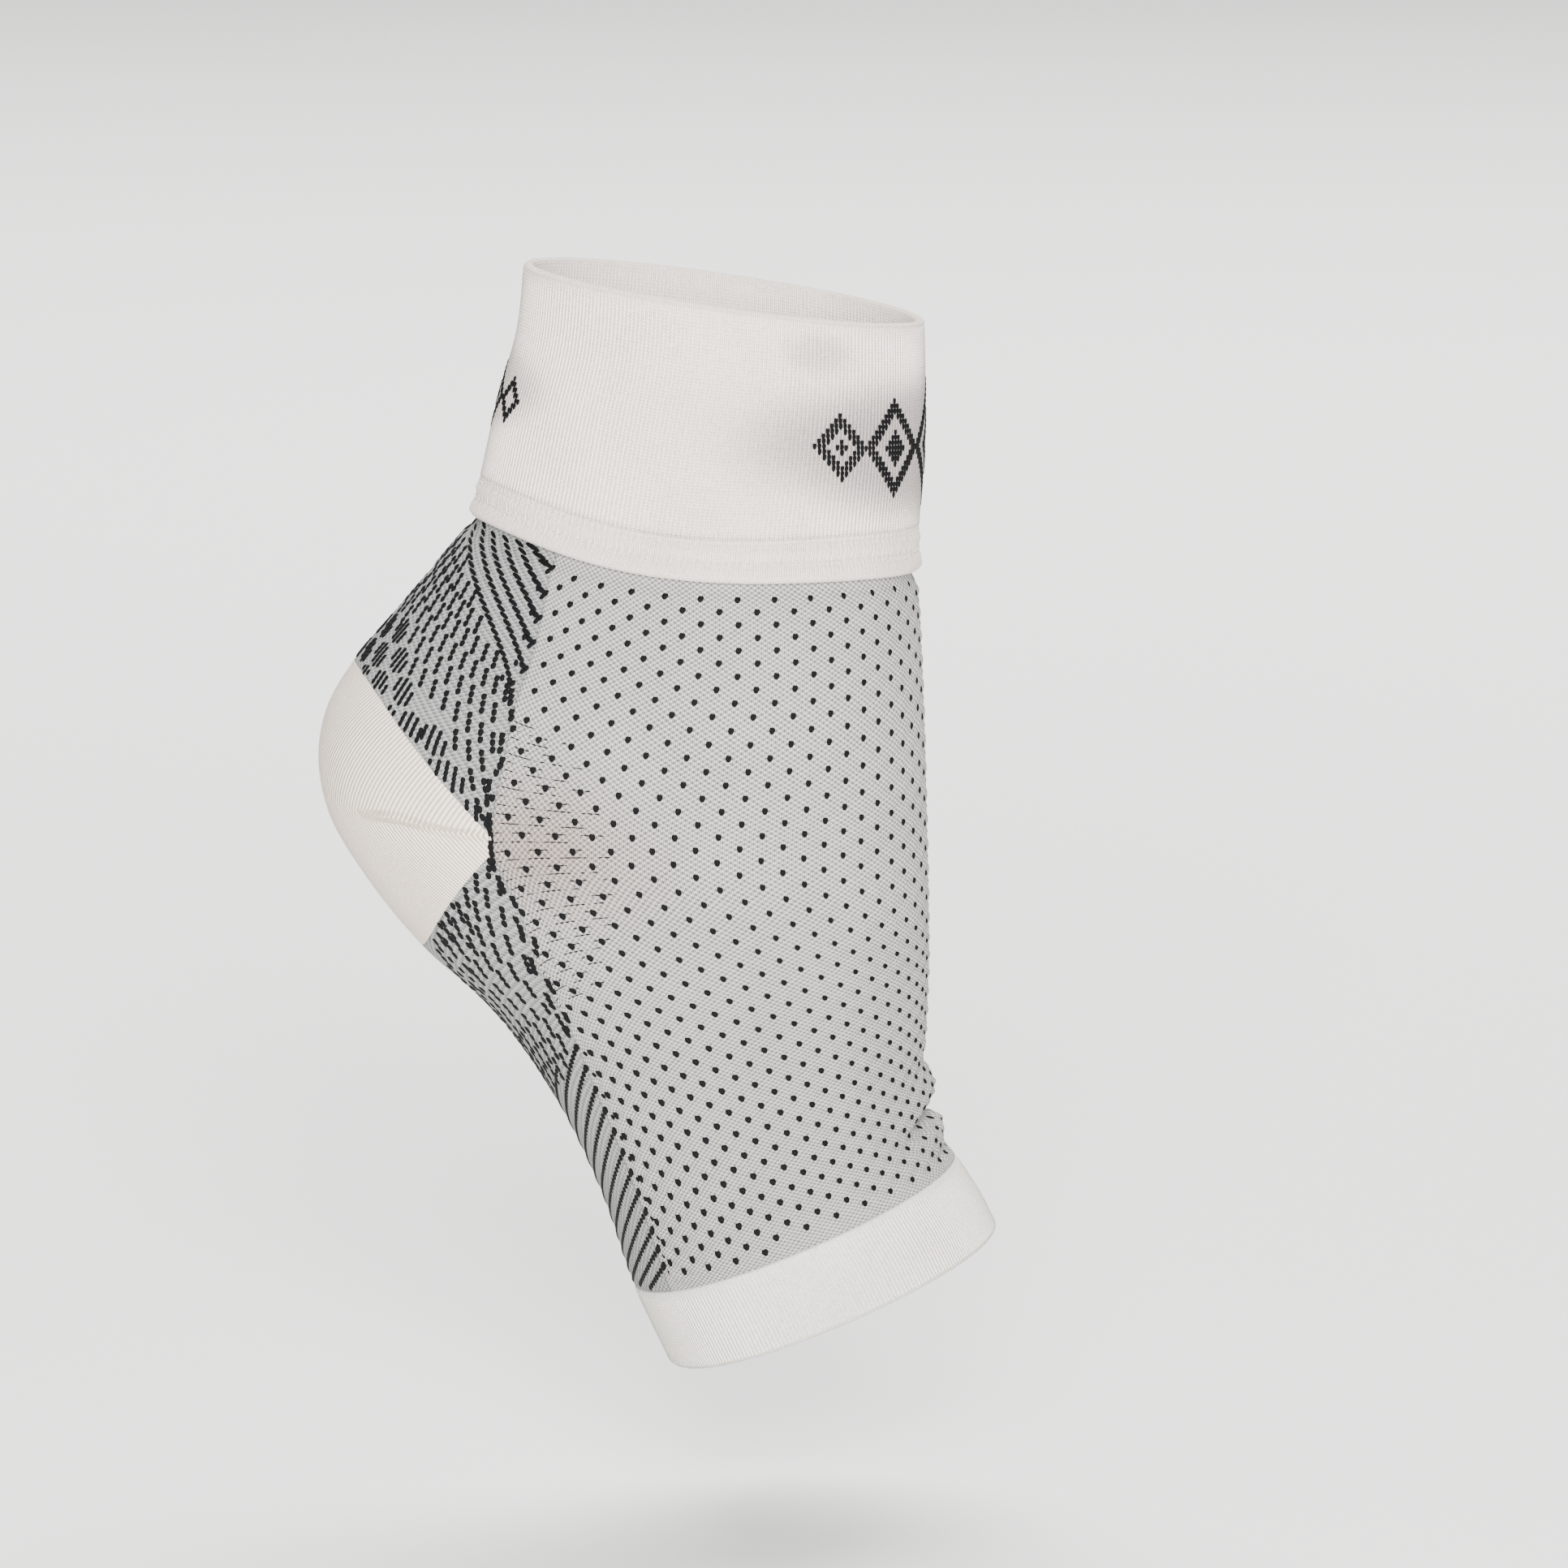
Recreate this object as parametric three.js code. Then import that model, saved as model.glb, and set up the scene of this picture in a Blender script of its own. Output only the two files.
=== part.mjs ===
import * as THREE from 'three';

// A knitted arch support sleeve for the foot and ankle, in the form it has when it is worn with the
// heel raised: a rib cuff round the lower leg, a sewn hem, a thin dotted body over the instep, a firm
// panel down the Achilles tendon, a heel pocket, a firm panel under the arch and a rib band behind
// the toes. Every piece is a wall of cloth round one open hollow.
//
// Frame, in millimetres: the origin is the ankle's centre, +X points to the toes, +Z up the leg and
// Y across the foot. The sleeve fits either foot, so it is the same on both sides of Y = 0.
//
// A place on the cloth has two measures. Its level is how far it lies from the cuff's rim, in
// millimetres, measured as the mean of the back line and the front line. Its turn is how far round
// it lies: 0 on the back line, 1 and -1 on the front line.

// Reach of the outer face from the ankle's centre
const HEEL_REACH = 77;
const INSTEP_REACH = 41;

// Height of the hem's lower edge above the ankle, on the back line and on the front line
const HEM_RISE = 35;
const HEM_FRONT_RISE = 24.2;

// Drop of the toe band's upper edge below the ankle, on the sole and on the instep
const FOOT_DROP = 115;
const INSTEP_DROP = 90.4;

// Depth of the cuff with its hem, of the hem alone, and of the toe band
const CUFF_DEPTH = 50.4;
const HEM_DEPTH = 8.3;
const TOE_BAND_DEPTH = 15.2;

// Widths across the foot
const LEG_WIDTH = 67;
const FOOT_WIDTH = 80;

// Walls of cloth, the roll of the hem over the body, how deep the hem's inner face is seated, and how
// far the toe band stands proud of the body
const CUFF_WALL = 2;
const BODY_WALL = 1.2;
const BAND_WALL = 1.5;
const HEM_ROLL = 0.7;
const HEM_SEAT = 0.8;
const BAND_PROUD = 0.25;

// How far the hem droops at the sides from a base a little above its section, how far the body's top
// edge is sewn in under it, and how far below it the body is back at the outline
const HEM_DROOP = 4;
const HEM_BACK_RAISE = 1.4;
const TUCK_DEPTH = 6.4;
const TUCK_FADE = 4.5;

// Space between two pieces that meet
const CLEARANCE = 0.3;
const LAYER_CLEARANCE = 0.4;

// Creases across the instep above the toe band, and the stretch before the band where they end
const FOLD_DEPTH = 3;
const FOLD_WIDTH = 4;
const BAND_FADE = 3;

// Width of the heel pocket's blunt side corners
const CORNER_WIDTH = 2.9;

// What each zone of the table below is measured from
const ZONES = {
  cuff: { backFrom: HEM_RISE, frontFrom: HEM_FRONT_RISE, backSpan: CUFF_DEPTH, frontSpan: CUFF_DEPTH,
    width: LEG_WIDTH },
  ankle: { backFrom: 0, frontFrom: 0, backSpan: HEM_RISE, frontSpan: HEM_FRONT_RISE, width: FOOT_WIDTH },
  foot: { backFrom: 0, frontFrom: 0, backSpan: -FOOT_DROP, frontSpan: -INSTEP_DROP, width: FOOT_WIDTH },
  band: { backFrom: -FOOT_DROP, frontFrom: -INSTEP_DROP, backSpan: -TOE_BAND_DEPTH,
    frontSpan: -TOE_BAND_DEPTH, width: FOOT_WIDTH },
};

// Sections of the outer face, from the rim to the toes, each in the plane of its back and front point.
// backX is a share of HEEL_REACH, frontX of INSTEP_REACH, backZ and frontZ of the zone's spans and
// half of the zone's width. Egg above 0 widens the section towards its back, blunt widens both ends,
// and panel is the turn at which the firm panels meet the dotted body.
const COLUMNS = ['zone', 'backX', 'backZ', 'frontX', 'frontZ', 'half', 'egg', 'blunt', 'panel'];
const SECTIONS = {
  rim: ['cuff', 0.477, 1.0, 0.995, 0.994, 0.925, 0.0, 0.0, 0.28],
  cuffUpper: ['cuff', 0.494, 0.754, 1.0, 0.782, 0.94, -0.03, 0.0, 0.28],
  cuffMiddle: ['cuff', 0.542, 0.488, 1.0, 0.514, 0.955, -0.08, 0.0, 0.28],
  cuffLower: ['cuff', 0.591, 0.159, 0.971, 0.183, 0.985, -0.12, 0.0, 0.28],
  hem: ['cuff', 0.616, 0.0, 0.964, 0.0, 1.0, -0.16, 0.0, 0.29],
  tendon: ['ankle', 0.694, 0.774, 0.976, 0.657, 0.863, -0.2, 0.0, 0.317],
  tendonLower: ['ankle', 0.817, 0.454, 0.99, 0.132, 0.888, -0.2, 0.0, 0.349],
  pocketTop: ['ankle', 0.907, 0.22, 1.0, -0.331, 0.9, -0.14, 0.04, 0.36],
  heelUpper: ['foot', 0.981, 0.021, 1.007, 0.211, 0.9, -0.06, 0.08, 0.371],
  heel: ['foot', 1.0, 0.097, 1.012, 0.3, 0.888, 0.0, 0.1, 0.366],
  heelLower: ['foot', 0.974, 0.194, 1.017, 0.397, 0.875, 0.02, 0.1, 0.356],
  heelSole: ['foot', 0.892, 0.291, 1.019, 0.486, 0.863, 0.03, 0.1, 0.356],
  pocketEnd: ['foot', 0.742, 0.417, 1.019, 0.575, 0.863, 0.03, 0.1, 0.325],
  archBack: ['foot', 0.576, 0.517, 1.012, 0.664, 0.863, 0.04, 0.1, 0.285],
  arch: ['foot', 0.411, 0.669, 1.005, 0.779, 0.888, 0.08, 0.1, 0.243],
  archFront: ['foot', 0.289, 0.837, 1.044, 0.895, 0.938, 0.1, 0.1, 0.225],
  bandTop: ['band', 0.205, 0.0, 1.146, 0.0, 0.975, 0.1, 0.08, 0.222],
  bandMiddle: ['band', 0.16, 0.5, 1.258, 0.47, 0.993, 0.09, 0.08, 0.222],
  toeEdge: ['band', 0.113, 1.0, 1.343, 0.92, 1.0, 0.08, 0.08, 0.222],
};

// Creases and swells of the instep. at is a share of the body's length, slide the share by which the
// fold has moved to the toes where it dies out, reach the turn where it dies out, and width and depth
// are shares of FOLD_WIDTH and FOLD_DEPTH. A depth below 0 is a swell.
const FOLDS = [
  { name: 'upper crease', at: 0.79, slide: 0.03, reach: 0.78, width: 0.7, depth: 0.2 },
  { name: 'upper swell', at: 0.845, slide: 0.03, reach: 0.74, width: 1.0, depth: -0.42 },
  { name: 'deep crease', at: 0.885, slide: 0.05, reach: 0.7, width: 0.62, depth: 1.0 },
  { name: 'lower swell', at: 0.925, slide: 0.03, reach: 0.74, width: 0.8, depth: -0.3 },
  { name: 'band crease', at: 0.975, slide: 0.01, reach: 0.76, width: 0.5, depth: 0.3 },
];

// Exponents of the heel pocket's two edges, from the back line to its side corners
const POCKET_UPPER_CURVE = 2.8;
const POCKET_LOWER_CURVE = 2.15;

// Facets: round a full loop, and along and across each panel
const LOOP_STEPS = 60;
const PANEL_STEPS = {
  body: { across: 28, upper: 18, lower: 13 },
  achilles: { across: 16, along: 11 },
  pocket: { across: 16, along: 8 },
  arch: { across: 12, along: 19 },
};

// The table's rows in millimetres
function realSection(row) {
  const share = Object.fromEntries(COLUMNS.map((name, i) => [name, row[i]]));
  const zone = ZONES[share.zone];
  return [
    -share.backX * HEEL_REACH,
    zone.backFrom + share.backZ * zone.backSpan,
    share.frontX * INSTEP_REACH,
    zone.frontFrom + share.frontZ * zone.frontSpan,
    share.half * zone.width / 2,
    share.egg,
    share.blunt,
    share.panel,
  ];
}

const sectionNames = Object.keys(SECTIONS);
const sectionRows = sectionNames.map((name) => realSection(SECTIONS[name]));

// Levels of the sections: the mean of the distance run on the back line and on the front line
const sectionLevels = [0];
for (let i = 1; i < sectionRows.length; i += 1) {
  const [now, last] = [sectionRows[i], sectionRows[i - 1]];
  const backRun = Math.hypot(now[0] - last[0], now[1] - last[1]);
  const frontRun = Math.hypot(now[2] - last[2], now[3] - last[3]);
  sectionLevels.push(sectionLevels[i - 1] + (backRun + frontRun) / 2);
}
const LEVEL = Object.fromEntries(sectionNames.map((name, i) => [name, sectionLevels[i]]));

// Slope of each column at each section: the two neighbouring slopes, weighted by the other's length
function sectionSlope(i, column) {
  const slope = (k) => (sectionRows[k + 1][column] - sectionRows[k][column])
    / (sectionLevels[k + 1] - sectionLevels[k]);
  const last = sectionRows.length - 1;
  if (i === 0) return slope(0);
  if (i === last) return slope(last - 1);
  const before = sectionLevels[i] - sectionLevels[i - 1];
  const after = sectionLevels[i + 1] - sectionLevels[i];
  return (slope(i - 1) * after + slope(i) * before) / (before + after);
}
const sectionSlopes = sectionRows.map((row, i) => row.map((value, column) => sectionSlope(i, column)));

// The section at any level, by a cubic between the two rows that hold it
function sectionAt(level) {
  let i = 0;
  while (i < sectionRows.length - 2 && level > sectionLevels[i + 1]) i += 1;
  const run = sectionLevels[i + 1] - sectionLevels[i];
  const t = THREE.MathUtils.clamp((level - sectionLevels[i]) / run, 0, 1);
  const [from, to] = [sectionRows[i], sectionRows[i + 1]];
  const [leave, reach] = [sectionSlopes[i], sectionSlopes[i + 1]];
  return from.map((value, k) => (1 + 2 * t) * (1 - t) ** 2 * value + t * (1 - t) ** 2 * run * leave[k]
    + t * t * (3 - 2 * t) * to[k] + t * t * (t - 1) * run * reach[k]);
}

// The outer face without hem or folds
function skin(level, turn) {
  const [backX, backZ, frontX, frontZ, half, egg, blunt] = sectionAt(level);
  const cos = Math.cos(Math.PI * turn);
  const forward = (1 - cos) / 2;
  const side = half * Math.sin(Math.PI * turn) * (1 + egg * cos + blunt * cos * cos);
  return new THREE.Vector3(backX + (frontX - backX) * forward, side, backZ + (frontZ - backZ) * forward);
}

// A point raised from the outer face by lift, square to it
const LEVEL_STEP = 0.2;
const TURN_STEP = 0.001;
function raised(level, turn, lift) {
  const inside = THREE.MathUtils.clamp(level, LEVEL_STEP, LEVEL.toeEdge - LEVEL_STEP);
  const down = skin(inside + LEVEL_STEP, turn).sub(skin(inside - LEVEL_STEP, turn));
  const round = skin(inside, turn + TURN_STEP).sub(skin(inside, turn - TURN_STEP));
  const outward = round.cross(down).normalize();
  return skin(level, turn).addScaledVector(outward, lift);
}

// Millimetres of cloth per unit of turn at a place
function turnLength(level, turn) {
  return skin(level, turn + TURN_STEP).distanceTo(skin(level, turn - TURN_STEP)) / (2 * TURN_STEP);
}

// The hem's lower edge: level at the back and front, and lower at the sides. A lean under 1 brings
// the droop nearer to the back, and a higher focus keeps it to the sides.
const DROOP_LEAN = 0.85;
const DROOP_FOCUS = 4;
const hemBase = LEVEL.hem - HEM_BACK_RAISE;
function hemLine(turn) {
  return hemBase + HEM_DROOP * Math.sin(Math.PI * Math.abs(turn) ** DROOP_LEAN) ** DROOP_FOCUS;
}

// Height of all creases and swells at a place
const bodyLength = LEVEL.bandTop - hemBase;
function foldLift(level, turn) {
  let lift = 0;
  for (const fold of FOLDS) {
    const fromFront = THREE.MathUtils.clamp((1 - Math.abs(turn)) / (1 - fold.reach), 0, 1);
    const centre = hemBase + (fold.at + fold.slide * fromFront) * bodyLength;
    const away = (level - centre) / (fold.width * FOLD_WIDTH);
    lift -= fold.depth * FOLD_DEPTH * Math.exp(-away * away) * (1 - fromFront * fromFront) ** 2;
  }
  return lift;
}

// Lift of the thin knit's outer face: sunk under the hem, level with the outline below it, and
// brought back to the outline before the toe band
const tuckLift = HEM_SEAT + LAYER_CLEARANCE;
function bodyLift(level, turn) {
  const below = THREE.MathUtils.smoothstep(level - hemLine(turn), CLEARANCE, TUCK_FADE);
  const beforeBand = THREE.MathUtils.smoothstep(LEVEL.bandTop - level, 0, BAND_FADE);
  return -tuckLift * (1 - below) + foldLift(level, turn) * beforeBand;
}

// A closed ring whose wall section is the closed list of [level, lift] that profile gives at a turn.
// The list runs down the outer face and back up the inner one.
function ringSolid(profile) {
  const points = [];
  const faces = [];
  const count = profile(0).length;
  for (let i = 0; i < LOOP_STEPS; i += 1) {
    const turn = -1 + 2 * i / LOOP_STEPS;
    for (const [level, lift] of profile(turn)) points.push(raised(level, turn, lift));
  }
  for (let i = 0; i < LOOP_STEPS; i += 1) {
    for (let j = 0; j < count; j += 1) {
      const [a, b] = [i * count + j, i * count + (j + 1) % count];
      const [c, d] = [((i + 1) % LOOP_STEPS) * count + j, ((i + 1) % LOOP_STEPS) * count + (j + 1) % count];
      faces.push(a, c, d, a, d, b);
    }
  }
  return solid(points, faces);
}

// A closed panel of even wall. where(s, r) gives the [level, turn] of a point that lies s across and
// r along, both 0 to 1, and rows is the list of r.
function panelSolid(across, rows, where) {
  const points = [];
  const faces = [];
  const width = across + 1;
  const layer = width * rows.length;
  for (const sunk of [0, BODY_WALL]) {
    for (const r of rows) {
      for (let i = 0; i <= across; i += 1) {
        const [level, turn] = where(i / across, r);
        points.push(raised(level, turn, bodyLift(level, turn) - sunk));
      }
    }
  }
  const quad = (a, b, c, d) => faces.push(a, b, c, a, c, d);
  for (let j = 0; j < rows.length - 1; j += 1) {
    for (let i = 0; i < across; i += 1) {
      const a = j * width + i;
      quad(a, a + 1, a + width + 1, a + width);
      quad(layer + a, layer + a + width, layer + a + width + 1, layer + a + 1);
    }
    const [left, right] = [j * width, j * width + across];
    quad(left, left + width, layer + left + width, layer + left);
    quad(right, layer + right, layer + right + width, right + width);
  }
  for (let i = 0; i < across; i += 1) {
    const end = (rows.length - 1) * width + i;
    quad(i, layer + i, layer + i + 1, i + 1);
    quad(end, end + 1, layer + end + 1, layer + end);
  }
  return solid(points, faces);
}

function solid(points, faces) {
  const geometry = new THREE.BufferGeometry();
  const places = points.flatMap((point) => [point.x, point.y, point.z]);
  geometry.setAttribute('position', new THREE.Float32BufferAttribute(places, 3));
  geometry.setIndex(faces);
  geometry.computeVertexNormals();
  return geometry;
}

function evenSteps(from, to, steps) {
  return Array.from({ length: steps + 1 }, (unused, i) => from + (to - from) * i / steps);
}

// The turn of the seam between the firm panels and the body, moved by share clearances
function seamTurn(level, share) {
  const turn = sectionAt(level)[7];
  return turn + share * CLEARANCE / turnLength(level, turn);
}

// The cuff is knitted double, so its rim is a soft fold
function cuffProfile(turn) {
  const end = hemLine(turn) - HEM_DEPTH - CLEARANCE;
  const start = CUFF_WALL / 2;
  const levels = evenSteps(start, end, 6);
  const outer = levels.map((level) => [level, 0]);
  const inner = levels.map((level) => [level, -CUFF_WALL]).reverse();
  const rim = [[start * 0.3, -CUFF_WALL * 0.85], [0, -CUFF_WALL / 2], [start * 0.3, -CUFF_WALL * 0.15]];
  return [...outer, ...inner, ...rim];
}

// The hem stands proud as two soft rolls between its upper edge, its two rows of stitches and its
// lower edge. at is a share of HEM_DEPTH from the upper edge, lift a share of HEM_ROLL.
const HEM_PROFILE = [
  { at: 0.0, lift: 0.0 },
  { at: 0.12, lift: -0.2 },
  { at: 0.3, lift: 0.5 },
  { at: 0.52, lift: 0.1 },
  { at: 0.75, lift: 1.0 },
  { at: 0.95, lift: 0.8 },
  { at: 1.0, lift: 0.0 },
];
function hemProfile(turn) {
  const start = hemLine(turn) - HEM_DEPTH;
  const outer = HEM_PROFILE.map(({ at, lift }) => [start + at * HEM_DEPTH, lift * HEM_ROLL]);
  const inner = evenSteps(hemLine(turn), start, 2).map((level) => [level, -HEM_SEAT]);
  return [...outer, ...inner];
}

// The toe band is a firm rib, a little proud of the body, with a rounded edge at the toes
function bandProfile() {
  const start = LEVEL.bandTop + CLEARANCE;
  const end = LEVEL.toeEdge;
  const turnIn = BAND_WALL / 2;
  const levels = evenSteps(start + turnIn, end - turnIn, 4);
  const outer = levels.map((level) => [level, BAND_PROUD]);
  const inner = levels.map((level) => [level, BAND_PROUD - BAND_WALL]).reverse();
  return [[start, 0], ...outer, [end, BAND_PROUD - turnIn], ...inner, [start, -BODY_WALL]];
}

// A level on the thin knit at a turn: r from -1 to 0 is sewn in under the hem, and r from 0 to 1 runs
// from the hem's edge to end
function hungLevel(turn, r, end) {
  if (r < 0) return hemLine(turn) + r * TUCK_DEPTH;
  return THREE.MathUtils.lerp(hemLine(turn) + CLEARANCE, end, r);
}

// The [level, turn] of a point whose level depends on its turn and whose turn, a share of the way to
// the seam, depends on its level. Each pass brings the two closer.
const SETTLE_PASSES = 6;
function settled(start, levelAt, turnAt) {
  let level = start;
  let turn = turnAt(level);
  for (let pass = 0; pass < SETTLE_PASSES; pass += 1) {
    level = levelAt(turn);
    turn = turnAt(level);
  }
  return [level, turn];
}

// The dotted body: round the front, from under the hem to the toe band
function bodyPlace(s, r) {
  const side = s < 0.5 ? 1 : -1;
  const fromFront = Math.abs(2 * s - 1);
  const turnAt = (level) => side * (1 - fromFront * (1 - seamTurn(level, 0.5)));
  return settled(hemBase, (turn) => hungLevel(turn, r, LEVEL.bandTop), turnAt);
}

// Heel pocket edges: far apart on the back line and close together at the side corners, which lie
// between two sections
const CORNER_SHARE = 0.76;
const cornerLevel = THREE.MathUtils.lerp(LEVEL.heel, LEVEL.heelLower, CORNER_SHARE);
const pocketCorner = sectionAt(cornerLevel)[7];
function pocketUpper(turn) {
  const share = Math.min(Math.abs(turn) / pocketCorner, 1);
  const corner = cornerLevel - CORNER_WIDTH / 2;
  return LEVEL.pocketTop + (corner - LEVEL.pocketTop) * share ** POCKET_UPPER_CURVE;
}
function pocketLower(turn) {
  const share = Math.min(Math.abs(turn) / pocketCorner, 1);
  const corner = cornerLevel + CORNER_WIDTH / 2;
  return LEVEL.pocketEnd - (LEVEL.pocketEnd - corner) * share ** POCKET_LOWER_CURVE;
}

// Clearance along the level for an edge that runs at a slant
function slantClearance(edge, turn) {
  const rise = (edge(turn + TURN_STEP) - edge(turn - TURN_STEP)) / (2 * TURN_STEP);
  return CLEARANCE / 2 * Math.hypot(1, rise / turnLength(edge(turn), turn));
}

function achillesPlace(s, r) {
  const turnAt = (level) => (2 * s - 1) * seamTurn(level, -0.5);
  const endAt = (turn) => pocketUpper(turn) - slantClearance(pocketUpper, turn);
  return settled(cornerLevel, (turn) => hungLevel(turn, r, endAt(turn)), turnAt);
}

function pocketPlace(s, r) {
  const turn = seamTurn(cornerLevel, -0.5) * (2 * s - 1);
  const top = pocketUpper(turn) + slantClearance(pocketUpper, turn);
  const end = pocketLower(turn) - slantClearance(pocketLower, turn);
  return [THREE.MathUtils.lerp(top, end, r), turn];
}

function archPlace(s, r) {
  const turnAt = (level) => (2 * s - 1) * seamTurn(level, -0.5);
  const topAt = (turn) => pocketLower(turn) + slantClearance(pocketLower, turn);
  return settled(cornerLevel, (turn) => THREE.MathUtils.lerp(topAt(turn), LEVEL.bandTop, r), turnAt);
}

// Yarn colours as they look in the photograph
const cuffKnit = new THREE.MeshStandardMaterial({ color: 0xe9e2dc, roughness: 0.9, metalness: 0 });
const dottedKnit = new THREE.MeshStandardMaterial({ color: 0xd6d6d3, roughness: 0.92, metalness: 0 });
const firmKnit = new THREE.MeshStandardMaterial({ color: 0x8c8c8a, roughness: 0.92, metalness: 0 });
const heelKnit = new THREE.MeshStandardMaterial({ color: 0xe0d7cd, roughness: 0.88, metalness: 0 });
const bandKnit = new THREE.MeshStandardMaterial({ color: 0xe4e3df, roughness: 0.9, metalness: 0 });

const sleeve = new THREE.Group();
function addPiece(name, geometry, material) {
  const mesh = new THREE.Mesh(geometry, material);
  mesh.name = name;
  sleeve.add(mesh);
}

const { body, achilles, pocket, arch } = PANEL_STEPS;
const fadeEnd = TUCK_FADE / bodyLength;
const foldStart = 0.76;
const bodyRows = [
  -1,
  0,
  ...evenSteps(fadeEnd, foldStart, body.upper),
  ...evenSteps(foldStart, 1, body.lower).slice(1),
];
const achillesRows = [-1, ...evenSteps(0, 1, achilles.along)];

addPiece('ankle_cuff', ringSolid(cuffProfile), cuffKnit);
addPiece('cuff_hem', ringSolid(hemProfile), cuffKnit);
addPiece('instep_body', panelSolid(body.across, bodyRows, bodyPlace), dottedKnit);
addPiece('achilles_panel', panelSolid(achilles.across, achillesRows, achillesPlace), firmKnit);
addPiece('heel_pocket', panelSolid(pocket.across, evenSteps(0, 1, pocket.along), pocketPlace), heelKnit);
addPiece('arch_panel', panelSolid(arch.across, evenSteps(0, 1, arch.along), archPlace), firmKnit);
addPiece('toe_band', ringSolid(bandProfile), bandKnit);

export default sleeve;
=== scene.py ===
# %% [markdown]
# # A knitted arch support sleeve
# The sleeve is one thin tube of knitted yarn with a doubled rib cuff, a dotted instep, two firm panels,
# a heel pocket and a rib toe band. We dress the fixed frame with finer surfaces: the same outline, with
# the ribs, puffs, creases and stitches that make it read as cloth. All lengths below are millimetres,
# and one function turns them to metres when a mesh is made.

import bpy
import numpy as np
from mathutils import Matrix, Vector


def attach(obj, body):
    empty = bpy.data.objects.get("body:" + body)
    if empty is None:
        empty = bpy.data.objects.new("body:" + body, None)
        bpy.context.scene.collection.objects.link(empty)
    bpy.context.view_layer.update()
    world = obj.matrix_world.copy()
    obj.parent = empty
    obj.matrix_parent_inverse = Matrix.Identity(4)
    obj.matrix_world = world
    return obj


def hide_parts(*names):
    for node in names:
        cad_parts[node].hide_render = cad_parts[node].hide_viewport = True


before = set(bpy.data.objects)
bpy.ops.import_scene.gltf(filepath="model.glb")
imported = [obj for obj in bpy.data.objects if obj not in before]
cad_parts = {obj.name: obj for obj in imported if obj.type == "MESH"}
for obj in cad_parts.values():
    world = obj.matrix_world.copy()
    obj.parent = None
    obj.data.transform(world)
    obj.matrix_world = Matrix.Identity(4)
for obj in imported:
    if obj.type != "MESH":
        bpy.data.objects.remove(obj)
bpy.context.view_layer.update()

MM = 0.001
print("nodes:", sorted(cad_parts))

# %% [markdown]
# ## The form of the sleeve
# On the real thing the cloth lies on a foot with its heel raised. Its sections could be lofted by hand,
# but a function is easier to reuse: every place on the cloth has a level, the millimetres of cloth from
# the cuff's rim, and a turn, 0 on the back line and 1 on the front line. A short table gives a section
# for each named place, as shares of a few real lengths, and a smooth curve runs through its columns.

# %% Real lengths
HEEL_REACH = 77
INSTEP_REACH = 41
HEM_RISE = 35
HEM_FRONT_RISE = 24.2
FOOT_DROP = 115
INSTEP_DROP = 90.4
CUFF_DEPTH = 50.4
HEM_DEPTH = 8.3
TOE_BAND_DEPTH = 15.2
LEG_WIDTH = 67
FOOT_WIDTH = 80
CUFF_WALL = 2
BODY_WALL = 1.2
BAND_WALL = 1.5
HEM_ROLL = 0.7
HEM_SEAT = 0.8
BAND_PROUD = 0.25
HEM_DROOP = 4
HEM_BACK_RAISE = 1.4
TUCK_DEPTH = 6.4
TUCK_FADE = 4.5
LAYER_CLEARANCE = 0.4
FOLD_DEPTH = 3
FOLD_WIDTH = 4
BAND_FADE = 3
CORNER_WIDTH = 2.9

# %% Table of sections
# A zone measures its shares from a back and a front height, over a back and a front span
ZONES = {
    "cuff": (HEM_RISE, HEM_FRONT_RISE, CUFF_DEPTH, CUFF_DEPTH, LEG_WIDTH),
    "ankle": (0, 0, HEM_RISE, HEM_FRONT_RISE, FOOT_WIDTH),
    "foot": (0, 0, -FOOT_DROP, -INSTEP_DROP, FOOT_WIDTH),
    "band": (-FOOT_DROP, -INSTEP_DROP, -TOE_BAND_DEPTH, -TOE_BAND_DEPTH, FOOT_WIDTH),
}
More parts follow.
